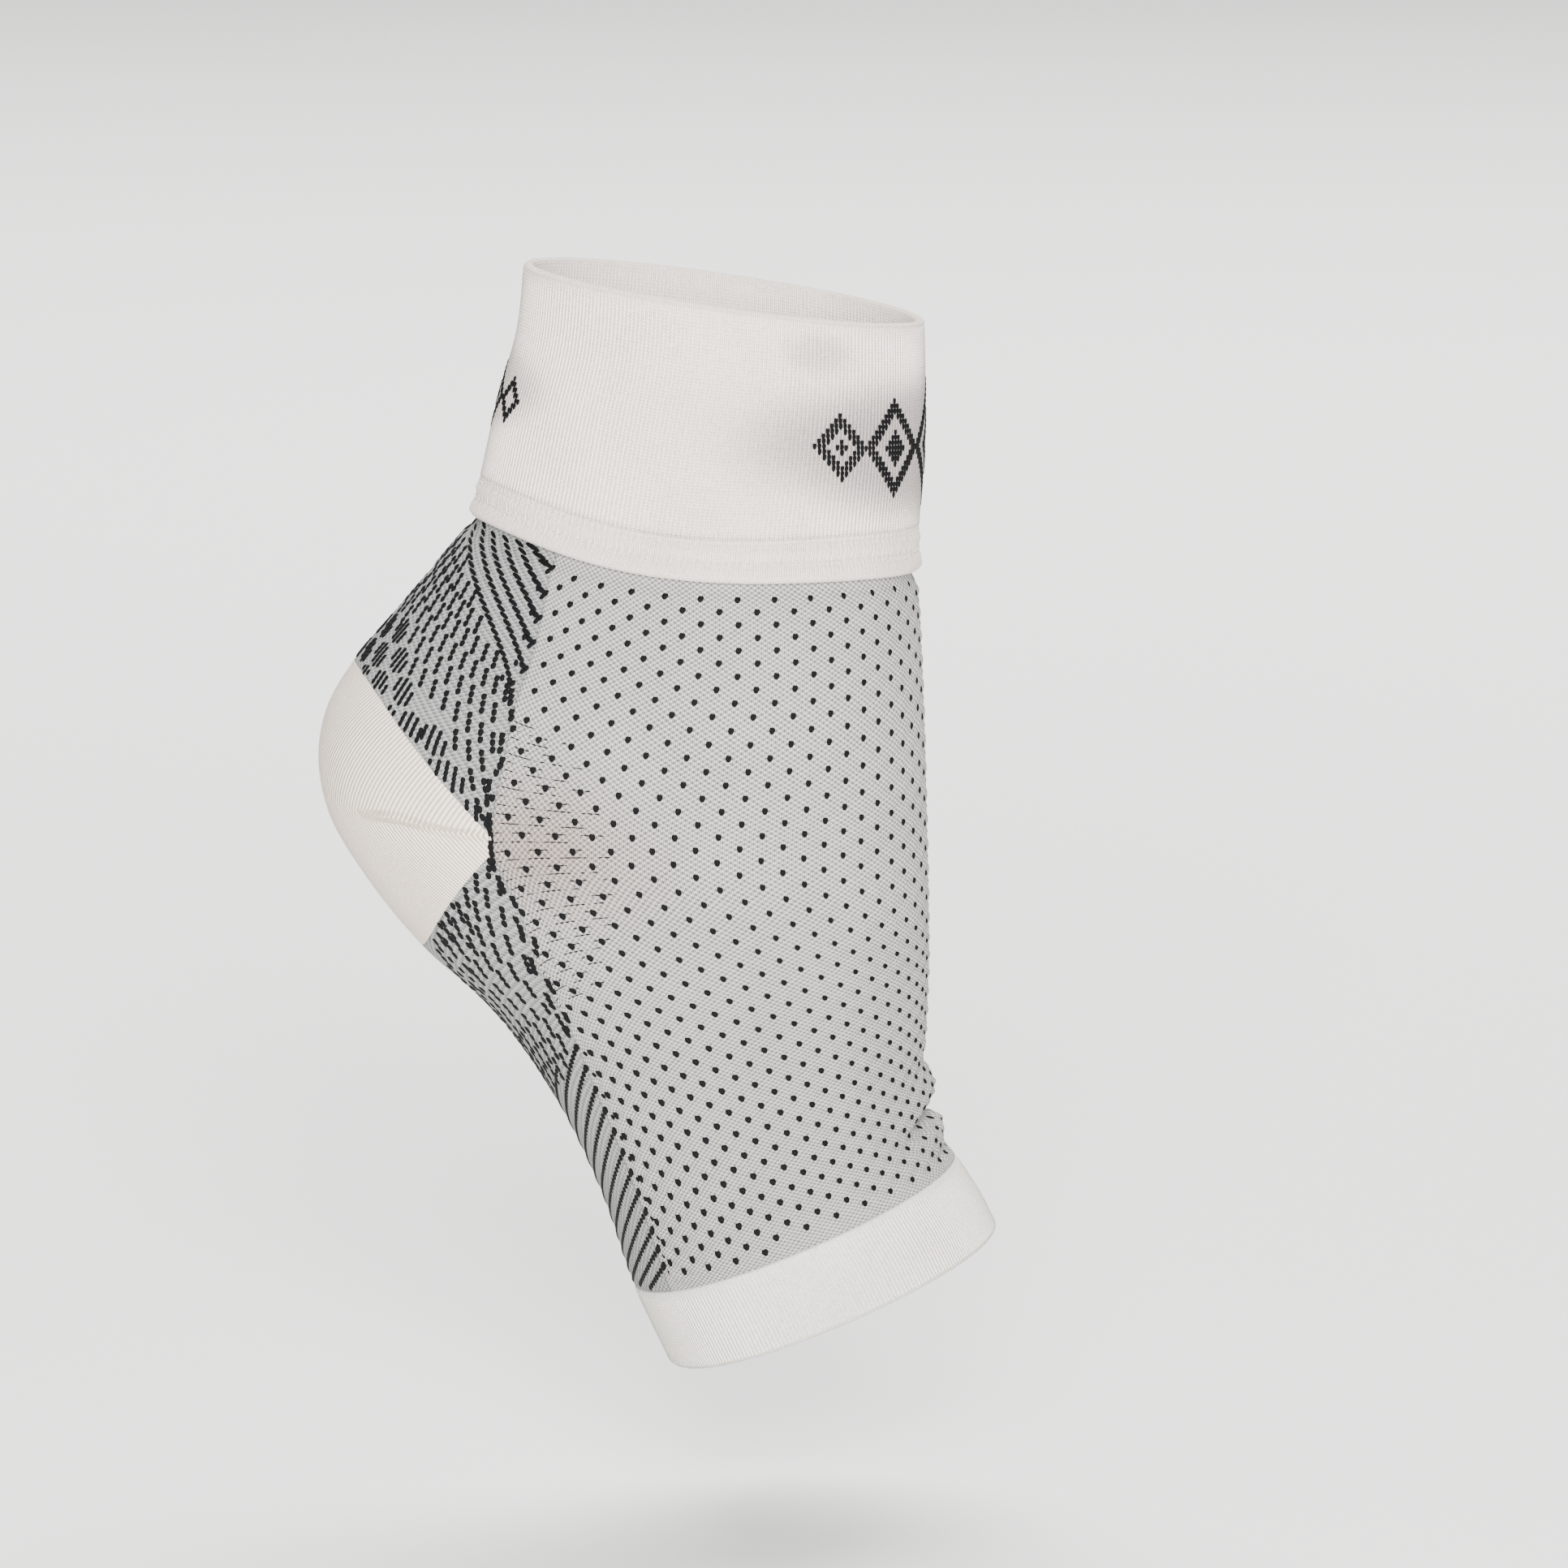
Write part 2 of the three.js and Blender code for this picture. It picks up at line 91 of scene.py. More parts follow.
# Columns: zone, backX, backZ, frontX, frontZ, half, egg, blunt, panel
SECTIONS = {
    "rim": ("cuff", 0.477, 1.0, 0.995, 0.994, 0.925, 0.0, 0.0, 0.28),
    "cuffUpper": ("cuff", 0.494, 0.754, 1.0, 0.782, 0.94, -0.03, 0.0, 0.28),
    "cuffMiddle": ("cuff", 0.542, 0.488, 1.0, 0.514, 0.955, -0.08, 0.0, 0.28),
    "cuffLower": ("cuff", 0.591, 0.159, 0.971, 0.183, 0.985, -0.12, 0.0, 0.28),
    "hem": ("cuff", 0.616, 0.0, 0.964, 0.0, 1.0, -0.16, 0.0, 0.29),
    "tendon": ("ankle", 0.694, 0.774, 0.976, 0.657, 0.863, -0.2, 0.0, 0.317),
    "tendonLower": ("ankle", 0.817, 0.454, 0.99, 0.132, 0.888, -0.2, 0.0, 0.349),
    "pocketTop": ("ankle", 0.907, 0.22, 1.0, -0.331, 0.9, -0.14, 0.04, 0.36),
    "heelUpper": ("foot", 0.981, 0.021, 1.007, 0.211, 0.9, -0.06, 0.08, 0.371),
    "heel": ("foot", 1.0, 0.097, 1.012, 0.3, 0.888, 0.0, 0.1, 0.366),
    "heelLower": ("foot", 0.974, 0.194, 1.017, 0.397, 0.875, 0.02, 0.1, 0.356),
    "heelSole": ("foot", 0.892, 0.291, 1.019, 0.486, 0.863, 0.03, 0.1, 0.356),
    "pocketEnd": ("foot", 0.742, 0.417, 1.019, 0.575, 0.863, 0.03, 0.1, 0.325),
    "archBack": ("foot", 0.576, 0.517, 1.012, 0.664, 0.863, 0.04, 0.1, 0.285),
    "arch": ("foot", 0.411, 0.669, 1.005, 0.779, 0.888, 0.08, 0.1, 0.243),
    "archFront": ("foot", 0.289, 0.837, 1.044, 0.895, 0.938, 0.1, 0.1, 0.225),
    "bandTop": ("band", 0.205, 0.0, 1.146, 0.0, 0.975, 0.1, 0.08, 0.222),
    "bandMiddle": ("band", 0.16, 0.5, 1.258, 0.47, 0.993, 0.09, 0.08, 0.222),
    "toeEdge": ("band", 0.113, 1.0, 1.343, 0.92, 1.0, 0.08, 0.08, 0.222),
}


def real_section(zone, back_x, back_z, front_x, front_z, half, *shape):
    """A row in millimetres: each share times the length that it follows."""
    back_from, front_from, back_span, front_span, width = ZONES[zone]
    back = (-back_x * HEEL_REACH, back_from + back_z * back_span)
    front = (front_x * INSTEP_REACH, front_from + front_z * front_span)
    return [*back, *front, half * width / 2, *shape]


ROWS = np.array([real_section(*row) for row in SECTIONS.values()])
back_runs = np.linalg.norm(np.diff(ROWS[:, 0:2], axis=0), axis=1)
front_runs = np.linalg.norm(np.diff(ROWS[:, 2:4], axis=0), axis=1)
KNOTS = np.concatenate([[0], np.cumsum((back_runs + front_runs) / 2)])
LEVEL = dict(zip(SECTIONS, KNOTS))
print("levels:", {name: round(float(level), 1) for name, level in LEVEL.items()})


# %% Smooth columns
def slopes(knots, rows):
    """Slope at each row: the two neighbouring slopes, each weighted by the other's length."""
    run = np.diff(knots)[:, None]
    slope = np.diff(rows, axis=0) / run
    inner = (slope[:-1] * run[1:] + slope[1:] * run[:-1]) / (run[1:] + run[:-1])
    return np.vstack([slope[:1], inner, slope[-1:]])


def smooth_rows(knots, rows, at):
    """The row at any place: a cubic between two rows that keeps the slope at both."""
    at = np.clip(at, knots[0], knots[-1])
    i = np.clip(np.searchsorted(knots, at, side="right") - 1, 0, len(knots) - 2)
    run = (knots[i + 1] - knots[i])[..., None]
    t = (at - knots[i])[..., None] / run
    slope = slopes(knots, rows)
    start = (1 + 2 * t) * (1 - t) ** 2 * rows[i] + t * (1 - t) ** 2 * run * slope[i]
    return start + t * t * (3 - 2 * t) * rows[i + 1] + t * t * (t - 1) * run * slope[i + 1]


def panel_turn(level):
    """Turn of the seam between the firm panels and the dotted body: the table's last column."""
    return smooth_rows(KNOTS, ROWS[:, -1:], np.asarray(level, float))[..., 0]


# %% The outer face
def skin(level, turn):
    """A half turn of a cosine runs from the back point to the front point, and a sine, fuller at the
    back or front by egg and blunt, swings it out to the side."""
    level, turn = np.broadcast_arrays(np.asarray(level, float), np.asarray(turn, float))
    section = np.moveaxis(smooth_rows(KNOTS, ROWS, level), -1, 0)
    back_x, back_z, front_x, front_z, half, egg, blunt, _ = section
    cos = np.cos(np.pi * turn)
    forward = (1 - cos) / 2
    side = half * np.sin(np.pi * turn) * (1 + egg * cos + blunt * cos * cos)
    x, z = back_x + (front_x - back_x) * forward, back_z + (front_z - back_z) * forward
    return np.stack([x, side, z], -1)


LEVEL_STEP = 0.2
TURN_STEP = 0.001


def tangents(level, turn):
    """The steps along the cloth and round it at each place, from points a little to each side."""
    level = np.clip(level, LEVEL_STEP, KNOTS[-1] - LEVEL_STEP)
    down = (skin(level + LEVEL_STEP, turn) - skin(level - LEVEL_STEP, turn)) / (2 * LEVEL_STEP)
    around = (skin(level, turn + TURN_STEP) - skin(level, turn - TURN_STEP)) / (2 * TURN_STEP)
    return down, around


def unit(vectors):
    """Each vector over its own length."""
    return vectors / np.linalg.norm(vectors, axis=-1, keepdims=True)


def cloth_frame(level, turn, lift):
    """The point on the outer face, moved out square to it by lift, and its outward normal."""
    down, around = tangents(level, turn)
    normal = unit(np.cross(around, down))
    return skin(level, turn) + normal * np.asarray(lift, float)[..., None], normal


def raised(level, turn, lift):
    """The moved point alone."""
    return cloth_frame(level, turn, lift)[0]


def smoothstep(value, low, high):
    """0 below low, 1 above high, and 3t^2 - 2t^3 between."""
    t = np.clip((value - low) / (high - low), 0, 1)
    return t * t * (3 - 2 * t)


# %% Hem line, creases and heel edges
DROOP_LEAN = 0.85
DROOP_FOCUS = 4
HEM_BASE = LEVEL["hem"] - HEM_BACK_RAISE
BODY_LENGTH = LEVEL["bandTop"] - HEM_BASE


def hem_line(turn):
    """Level of the hem's lower edge: a sine to the fourth lets it droop at the sides."""
    return HEM_BASE + HEM_DROOP * np.sin(np.pi * np.abs(turn) ** DROOP_LEAN) ** DROOP_FOCUS


# Columns: at, slide, reach, width, depth. At is a share of the body's length, slide how far the fold
# has moved to the toes at its end, reach the turn where it ends, and a depth below 0 is a swell.
FOLDS = {
    "upper crease": (0.79, 0.03, 0.78, 0.7, 0.2),
    "upper swell": (0.845, 0.03, 0.74, 1.0, -0.42),
    "deep crease": (0.885, 0.05, 0.7, 0.62, 1.0),
    "lower swell": (0.925, 0.03, 0.74, 0.8, -0.3),
    "band crease": (0.975, 0.01, 0.76, 0.5, 0.3),
}


def fold_lift(level, turn):
    """Each fold is a bell across its line, and dies out as the fourth power away from the front."""
    lift = 0
    for at, slide, reach, width, depth in FOLDS.values():
        from_front = np.clip((1 - np.abs(turn)) / (1 - reach), 0, 1)
        centre = HEM_BASE + (at + slide * from_front) * BODY_LENGTH
        away = (level - centre) / (width * FOLD_WIDTH)
        lift = lift - depth * FOLD_DEPTH * np.exp(-away * away) * (1 - from_front**2) ** 2
    return lift


def body_lift(level, turn):
    """Sunk under the hem, back on the outline a little below it, then the folds."""
    below = smoothstep(level - hem_line(turn), 0.3, TUCK_FADE)
    before_band = smoothstep(LEVEL["bandTop"] - level, 0, BAND_FADE)
    return -(HEM_SEAT + LAYER_CLEARANCE) * (1 - below) + fold_lift(level, turn) * before_band


CORNER_SHARE = 0.76
CORNER_LEVEL = LEVEL["heel"] + (LEVEL["heelLower"] - LEVEL["heel"]) * CORNER_SHARE
CORNER_TURN = float(panel_turn(CORNER_LEVEL))
POCKET_UPPER_CURVE = 2.3
POCKET_LOWER_CURVE = 2.15


def pocket_upper(turn):
    """Upper edge of the heel pocket: a power curve from the back line down to the corner."""
    share = np.minimum(np.abs(turn) / CORNER_TURN, 1)
    rise = CORNER_LEVEL - CORNER_WIDTH / 2 - LEVEL["pocketTop"]
    return LEVEL["pocketTop"] + rise * share**POCKET_UPPER_CURVE


def pocket_lower(turn):
    """Lower edge of the heel pocket: a power curve from the back line up to the corner."""
    share = np.minimum(np.abs(turn) / CORNER_TURN, 1)
    rise = LEVEL["pocketEnd"] - CORNER_LEVEL - CORNER_WIDTH / 2
    return LEVEL["pocketEnd"] - rise * share**POCKET_LOWER_CURVE


# %% [markdown]
# ## Camera, floor and light
# The camera stands level with the foot's side and looks down by 8.5 degrees from 2.5 m, as the picture's
# perspective says. The floor is a plain pale sheet, wide enough to fill the view. Two soft boxes, one
# beside the camera and a wide one behind and above, give the flat light of a studio shot.

# %% Camera
VIEW_DISTANCE = 2500
VIEW_TILT = np.radians(8.5)
VIEW_TARGET = np.array([13.6, 0, -16.9])
PIXEL_SIZE = 0.158
IMAGE_PIXELS = 1932
SENSOR_WIDTH = 36
view_back = np.array([0, -np.cos(VIEW_TILT), np.sin(VIEW_TILT)])
camera_data = bpy.data.cameras.new("studio_camera")
camera_data.sensor_width = SENSOR_WIDTH
camera_data.lens = SENSOR_WIDTH * VIEW_DISTANCE / (IMAGE_PIXELS * PIXEL_SIZE)
camera = bpy.data.objects.new("studio_camera", camera_data)
camera.location = (VIEW_TARGET + view_back * VIEW_DISTANCE) * MM
camera.rotation_euler = Vector(-view_back).to_track_quat("-Z", "Y").to_euler()
bpy.context.scene.collection.objects.link(camera)
bpy.context.scene.camera = camera
print("lens:", round(camera_data.lens, 1), "mm")


# %% Colours and nodes
def linear(hex_colour):
    """An sRGB hex colour as linear red, green, blue and alpha."""
    srgb = np.array([int(hex_colour[i : i + 2], 16) for i in (0, 2, 4)]) / 255
    return (*np.where(srgb < 0.04045, srgb / 12.92, ((srgb + 0.055) / 1.055) ** 2.4), 1.0)


def add(tree, kind, sockets=(), **settings):
    """Adds a node. Settings are its properties. Sockets give each input a value, a node or an output."""
    made = tree.nodes.new(kind)
    for name, value in settings.items():
        setattr(made, name, value)
    for socket, value in dict(sockets).items():
        source = value.outputs[0] if isinstance(value, bpy.types.Node) else value
        if isinstance(source, bpy.types.NodeSocket):
            tree.links.new(source, made.inputs[socket])
        else:
            made.inputs[socket].default_value = source
    return made


def scaled(colour, share):
    """The colour with its red, green and blue times the share."""
    return *(share * c for c in colour[:3]), 1.0


def new_material(name, roughness, gloss):
    """A new material, its tree and the inputs of its shader."""
    material = bpy.data.materials.new(name)
    material.use_nodes = True
    inputs = material.node_tree.nodes["Principled BSDF"].inputs
    inputs["Roughness"].default_value = roughness
    inputs["Specular IOR Level"].default_value = gloss
    return material, material.node_tree, inputs


# %% Floor and light
FLOOR_LEVEL = -159.7
FLOOR_RADIUS = 14000
FLOOR_SIDES = 96
# Columns: place and width in metres, and power in watts
SOFT_BOXES = {
    "front_softbox": ((0.1, -2.3, 0.7), 1.0, 190),
    "overhead_softbox": ((0.2, 1.9, 2.6), 3.0, 300),
}
FILL_LIGHT = 0.15


def matt_paper(name, hex_colour):
    """Matt background paper: nearly no gloss, and a faint fibre so that it isn't a flat colour."""
    material, tree, inputs = new_material(name, roughness=0.95, gloss=0.1)
    place = add(tree, "ShaderNodeTexCoord").outputs["Object"]
    fibre = add(tree, "ShaderNodeTexNoise", {"Vector": place, "Scale": 900, "Detail": 3}).outputs["Fac"]
    colour = linear(hex_colour)
    mixed = add(tree, "ShaderNodeMix", {0: fibre, 6: colour, 7: scaled(colour, 0.985)}, data_type="RGBA")
    tree.links.new(mixed.outputs[2], inputs["Base Color"])
    return material


angle = np.linspace(0, 2 * np.pi, FLOOR_SIDES, endpoint=False)
circle = np.stack([np.cos(angle), np.sin(angle), 0 * angle], -1) * FLOOR_RADIUS
floor_mesh = bpy.data.meshes.new("floor")
floor_mesh.from_pydata((circle + [0, 0, FLOOR_LEVEL]) * MM, [], [list(range(FLOOR_SIDES))])
floor_mesh.materials.append(matt_paper("matt_white_paper", "f4f4f2"))
floor = bpy.data.objects.new("floor", floor_mesh)
bpy.context.scene.collection.objects.link(floor)


def soft_light(name, place, size, power):
    """A square soft box that faces the middle of the sleeve."""
    data = bpy.data.lights.new(name, "AREA")
    data.shape = "SQUARE"
    data.size = size
    data.energy = power
    light = bpy.data.objects.new(name, data)
    light.location = place
    light.rotation_euler = (Vector(VIEW_TARGET * MM) - Vector(place)).to_track_quat("-Z", "Y").to_euler()
    bpy.context.scene.collection.objects.link(light)


for box_name, box in SOFT_BOXES.items():
    soft_light(box_name, *box)
world = bpy.data.worlds.new("studio")
world.use_nodes = True
world.node_tree.nodes["Background"].inputs["Color"].default_value = linear("f7f8f8")
world.node_tree.nodes["Background"].inputs["Strength"].default_value = FILL_LIGHT
bpy.context.scene.world = world


# %% [markdown]
# ## Meshes from grids
# Every piece is a grid of points worked out as one array. A ring such as the cuff closes both ways, like
# a tyre. A panel is an outer grid and an inner grid whose borders are joined. The grid's own map counts
# stitches: one unit across is one wale, a column of loops, and one unit down is one course, a row of them.

# %% Mesh helpers
def make_piece(name, node, material, points, faces, stitches=None, attributes=()):
    """Puts points and faces into a new object, which rides on the one body, stands for its CAD node, if
    it has one. If the signed volume is below 0 the faces are turned, so that they
    always point outwards. Stitches is the map, one pair for each face corner."""
    corners = points[faces]
    first, second, third = corners[:, 0], corners[:, 1], corners[:, 2]
    volume = np.einsum("ij,ij->", first, np.cross(second, third))
    if faces.shape[1] == 4:
        volume += np.einsum("ij,ij->", first, np.cross(third, corners[:, 3]))
    if volume < 0:
        faces = faces[:, ::-1]
        stitches = None if stitches is None else stitches[:, ::-1]
    mesh = bpy.data.meshes.new(name)
    mesh.vertices.add(len(points))
    mesh.vertices.foreach_set("co", np.ascontiguousarray(points * MM, np.float32).ravel())
    mesh.loops.add(faces.size)
    mesh.loops.foreach_set("vertex_index", np.ascontiguousarray(faces, np.int32).ravel())
    mesh.polygons.add(len(faces))
    mesh.polygons.foreach_set("loop_start", np.arange(len(faces), dtype=np.int32) * faces.shape[1])
    mesh.polygons.foreach_set("use_smooth", np.ones(len(faces), bool))
    if stitches is not None:
        layer = mesh.uv_layers.new(name="stitches")
        layer.data.foreach_set("uv", np.ascontiguousarray(stitches, np.float32).ravel())
    for key, values in dict(attributes).items():
        layer = mesh.attributes.new(key, "FLOAT", "POINT")
        layer.data.foreach_set("value", np.ascontiguousarray(values, np.float32).ravel())
    mesh.update(calc_edges=True)
    mesh.validate()
    mesh.materials.append(material)
    piece = bpy.data.objects.new(name, mesh)
    bpy.context.scene.collection.objects.link(piece)
    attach(piece, "root")
    if node:
        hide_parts(node)
    triangles = len(faces) * (faces.shape[1] - 2)
    print(f"{name}: {triangles} triangles, volume {abs(volume) / 6000:.2f} cm3")
    return piece


def quads(rows, columns, wrap_rows=False, wrap_columns=False):
    """Corner indices of a grid's quads, as row and column before any wrap."""
    r = np.arange(rows if wrap_rows else rows - 1)
    c = np.arange(columns if wrap_columns else columns - 1)
    r, c = (a.ravel() for a in np.meshgrid(r, c, indexing="ij"))
    return np.stack([r, r + 1, r + 1, r], -1), np.stack([c, c, c + 1, c + 1], -1)


def ring_piece(name, node, slot, material, level, turn, lift, phase, along, attributes=()):
    """A grid of cloth that closes both ways. Phase and along, one longer than its columns and rows, are
    its map."""
    rows, columns = lift.shape
    r, c = quads(rows, columns, True, True)
    faces = (r % rows) * columns + c % columns
    stitches = np.stack([phase[c], along[r]], -1)
    points = raised(level, turn + 0 * level, lift).reshape(-1, 3)
    return make_piece(name, node, material, points, faces, stitches, attributes)


def shell_piece(name, node, slot, material, level, turn, lift, across, along, attributes=()):
    """Two grids of cloth, one a wall below the other, joined along each of the four borders."""
    rows, columns = lift.shape
    r, c = quads(rows, columns)
    front = r * columns + c
    back = front[:, ::-1] + rows * columns
    index = np.arange(rows * columns).reshape(rows, columns)
    border = np.concatenate([index[0], index[1:, -1], index[-1, -2::-1], index[-2:0:-1, 0]])
    after = np.roll(border, -1)
    wall = np.stack([border, after, after + rows * columns, border + rows * columns], -1)
    faces = np.concatenate([front, back, wall])
    stitches = np.tile(np.stack([across.ravel(), along.ravel()], -1), (2, 1))[faces]
    points = np.concatenate([raised(level, turn, lift - drop).reshape(-1, 3) for drop in (0, BODY_WALL)])
    twice = {key: np.tile(values.ravel(), 2) for key, values in dict(attributes).items()}
    return make_piece(name, node, material, points, faces, stitches, twice)


# %% [markdown]
# ## Knitted cloth
# Plain knit is rows of loops: seen close, each wale is a column of small V shapes. The yarn could be
# modelled loop by loop, but there are about forty thousand of them, so the loops are drawn by the shader
# on the stitch map, as height and as painted shade and highlight, and only the marks that stand out are real
# yarn.

# %% Knit finish
DRIFT = 0.25
DRIFT_SCALE = 60
FLICKER = 0.5
FLICKER_SCALE = 1400
SHADED_HEIGHTS = (0.45, 1.25)


def knit(name, yarn, gap, relief, lean=0.9, leg=0.5, bead=0.25, tuck_bulge_and_highlight=0.0, tones=()):
    """Knitted nylon and cotton: matt yarn that scatters light, with gaps between its loops. The height drives
    the colour as well as the bump: the gap colour is painted shade in the hollows and the yarn colour a
    painted highlight on the loops and tucks. Height is a sine across each leg of the V times a cosine along
    it, slanted by lean. Tones tint the yarn where a point attribute of that name says so."""
    material, tree, inputs = new_material(name, roughness=0.85, gloss=0.25)
    stitch_map = add(tree, "ShaderNodeSeparateXYZ", {0: add(tree, "ShaderNodeUVMap", uv_map="stitches")})
    place = add(tree, "ShaderNodeTexCoord").outputs["Object"]
    found = {
        "across": stitch_map.outputs[0],
        "along": stitch_map.outputs[1],
        "drift": add(tree, "ShaderNodeTexNoise", {"Vector": place, "Scale": DRIFT_SCALE, "Detail": 3}),
        "flicker": add(tree, "ShaderNodeTexNoise", {"Vector": place, "Scale": FLICKER_SCALE, "Detail": 2}),
    }
    # Columns: name, operation, then its inputs, which are numbers or names of steps before it
    steps = [
        ("half wale", "PINGPONG", "across", 0.5),
        ("sweep", "MULTIPLY", "half wale", 2 * np.pi),
        ("swell", "SINE", "sweep"),
        ("leg", "POWER", "swell", leg),
        ("slant", "MULTIPLY_ADD", "half wale", 2 * lean, "along"),
        ("pace", "MULTIPLY", "slant", 2 * np.pi),
        ("beat", "COSINE", "pace"),
        ("bead", "MULTIPLY_ADD", "beat", bead, 1 - bead),
        ("loop", "MULTIPLY", "leg", "bead"),
        # Every second loop of every second row is a tuck that bulges, in a staggered lattice; the bulge is
        # bumped and also painted lighter as a highlight
        ("half across", "MULTIPLY", "across", np.pi),
        ("half along", "MULTIPLY", "along", np.pi),
        ("wave across", "COSINE", "half across"),
        ("wave along", "COSINE", "half along"),
        ("tuck", "MULTIPLY", "wave across", "wave along"),
        ("tucked", "MULTIPLY_ADD", "tuck", tuck_bulge_and_highlight, "loop"),
        # Yarn is never quite even: the shade drifts over centimetres and flickers from loop to loop
        ("flickering", "MULTIPLY_ADD", "flicker", FLICKER, "tucked"),
        ("uneven", "MULTIPLY_ADD", "drift", DRIFT, "flickering"),
    ]
    for step, operation, *values in steps:
        sockets = {i: found.get(value, value) for i, value in enumerate(values)}
        found[step] = add(tree, "ShaderNodeMath", sockets, operation=operation)
    uneven = found["uneven"]
    # Height becomes colour: low places take the gap colour as painted shade, high loops and tucks the yarn
    # colour as painted highlight
    darkest, palest = SHADED_HEIGHTS[0] - tuck_bulge_and_highlight / 2, SHADED_HEIGHTS[1] + tuck_bulge_and_highlight / 2
    shade = add(tree, "ShaderNodeMapRange", {0: uneven, 1: darkest, 2: palest})
    shaded = {0: shade, 6: linear(gap), 7: linear(yarn)}
    colour = add(tree, "ShaderNodeMix", shaded, data_type="RGBA", clamp_factor=True).outputs[2]
    for tone, tint in dict(tones).items():
        amount = add(tree, "ShaderNodeAttribute", attribute_name=tone).outputs["Fac"]
        tinted = {0: amount, 6: colour, 7: linear(tint)}
        colour = add(tree, "ShaderNodeMix", tinted, data_type="RGBA", blend_type="MULTIPLY").outputs[2]
    bump = add(tree, "ShaderNodeBump", {"Height": uneven, "Distance": relief * MM, "Strength": 1.0})
    tree.links.new(colour, inputs["Base Color"])
    tree.links.new(bump.outputs[0], inputs["Normal"])
    inputs["Sheen Weight"].default_value = 0.15
    inputs["Sheen Roughness"].default_value = 0.5
    return material


# %% Yarn finish
def black_yarn(name, hex_colour):
    """Dyed polyester yarn: nearly black, with a soft gloss along its twisted fibres."""
    material, tree, inputs = new_material(name, roughness=0.7, gloss=0.12)
    place = add(tree, "ShaderNodeTexCoord").outputs["Object"]
    fibre = add(tree, "ShaderNodeTexNoise", {"Vector": place, "Scale": 3500, "Detail": 2}).outputs["Fac"]
    base = linear(hex_colour)
    mixed = add(tree, "ShaderNodeMix", {0: fibre, 6: base, 7: scaled(base, 2.5)}, data_type="RGBA")
    bump = add(tree, "ShaderNodeBump", {"Height": fibre, "Distance": 0.05 * MM, "Strength": 0.6})
    tree.links.new(mixed.outputs[2], inputs["Base Color"])
    tree.links.new(bump.outputs[0], inputs["Normal"])
    return material


BLACK_YARN = black_yarn("black_polyester_yarn", "040405")


# %% Arc length round a section
RIB_SAMPLES = 6


def run_along(points):
    """The way from the first point to each one."""
    return np.concatenate([[0], np.cumsum(np.linalg.norm(np.diff(points, axis=0), axis=1))])


def even_turns(level, count):
    """Turns from -1 to 1 in even steps of cloth round the section at one level, and the way round."""
    fine = np.linspace(-1, 1, 4001)
    run = run_along(skin(level, fine))
    return np.interp(np.linspace(0, run[-1], count + 1), run, fine), run[-1]


def ribs_round(level, pitch):
    """For a ribbed ring: its turns, the rib phase of each and of the last one again, the number of
    ribs and the way round."""
    girth = even_turns(level, 1)[1]
    ribs = int(round(girth / pitch))
    turns = even_turns(level, ribs * RIB_SAMPLES)[0]
    return turns[:-1], np.arange(len(turns)) / RIB_SAMPLES, ribs, girth


def rib(phase, depth):
    """Ridges: half a cosine wave up, one to each whole phase."""
    return depth * (np.cos(2 * np.pi * phase) - 1) / 2


# %% [markdown]
# ## Cuff
# The cuff is a doubled one-by-one rib, folded over at its rim. Its ribs are about 0.9 mm apart. They
# catch the light in every view, so they are real ridges: a cosine across the turn, faded out at the fold.

# %% Cuff
RIB_PITCH = 0.88
RIB_DEPTH = 0.26
RIB_FADE = (0.5, 3.5)
INNER_RIB = 0.6
COURSE = 0.56
SEAM_GAP = 0.05
EDGE_ARC = np.linspace(0, np.pi, 9)[1:-1, None]
# Columns: level and turn of an oval's middle, half its height and width, depth, and power of its edge
FLOAT_OVALS = [(25, 1, 14, 0.45, 0.85, 3), (7, 0.66, 4, 0.06, 0.35, 2), (23, 0, 8, 0.2, 0.6, 3)]

cuff_turn, rib_phase, cuff_ribs, cuff_girth = ribs_round(LEVEL["cuffMiddle"], RIB_PITCH)
cuff_rib = rib(rib_phase[:-1], RIB_DEPTH)
cuff_end = hem_line(cuff_turn) - HEM_DEPTH - SEAM_GAP
half_wall = CUFF_WALL / 2
outer_level = half_wall + (cuff_end - half_wall) * np.linspace(0, 1, 27)[:, None]
inner_level = outer_level[::-4]
rim_level = half_wall * (1 - np.sin(EDGE_ARC)) + 0 * cuff_turn
rim_lift = -half_wall * (1 + np.cos(EDGE_ARC)) + 0 * cuff_turn
outer_lift = cuff_rib * smoothstep(outer_level, *RIB_FADE)
inner_lift = -CUFF_WALL - cuff_rib * INNER_RIB + 0 * inner_level
cuff_level = np.concatenate([outer_level, inner_level, rim_level])
cuff_lift = np.concatenate([outer_lift, inner_lift, rim_lift])
first_column = raised(cuff_level[:, 0], cuff_turn[0] + 0 * cuff_level[:, 0], cuff_lift[:, 0])
cuff_along = run_along(first_column)
cuff_along = np.append(cuff_along, cuff_along[-1] + 1) / COURSE
# Ribs of white loops with warm painted shade between them, and grey where black yarn floats behind
CUFF_TONES = {"float_shadow": "84858d"}
CUFF_KNIT = knit("nylon_rib_knit", "fff4ea", "a39286", 0.2, lean=0.6, leg=0.35, tones=CUFF_TONES)


def float_shadow(level, turn):
    """Where the black yarn floats behind the motif the white cloth shows grey, in soft ovals. They are
    on the outer face alone, where the level rises from row to row."""
    shadow = 0
    for at, middle, high, wide, depth, power in FLOAT_OVALS:
        away = ((level - at) / high) ** 2 + ((np.abs(turn) - middle) / wide) ** 2
        shadow = shadow + depth * np.exp(-(away**power))
    return np.where(level == np.maximum.accumulate(level, axis=0), shadow, 0.0)


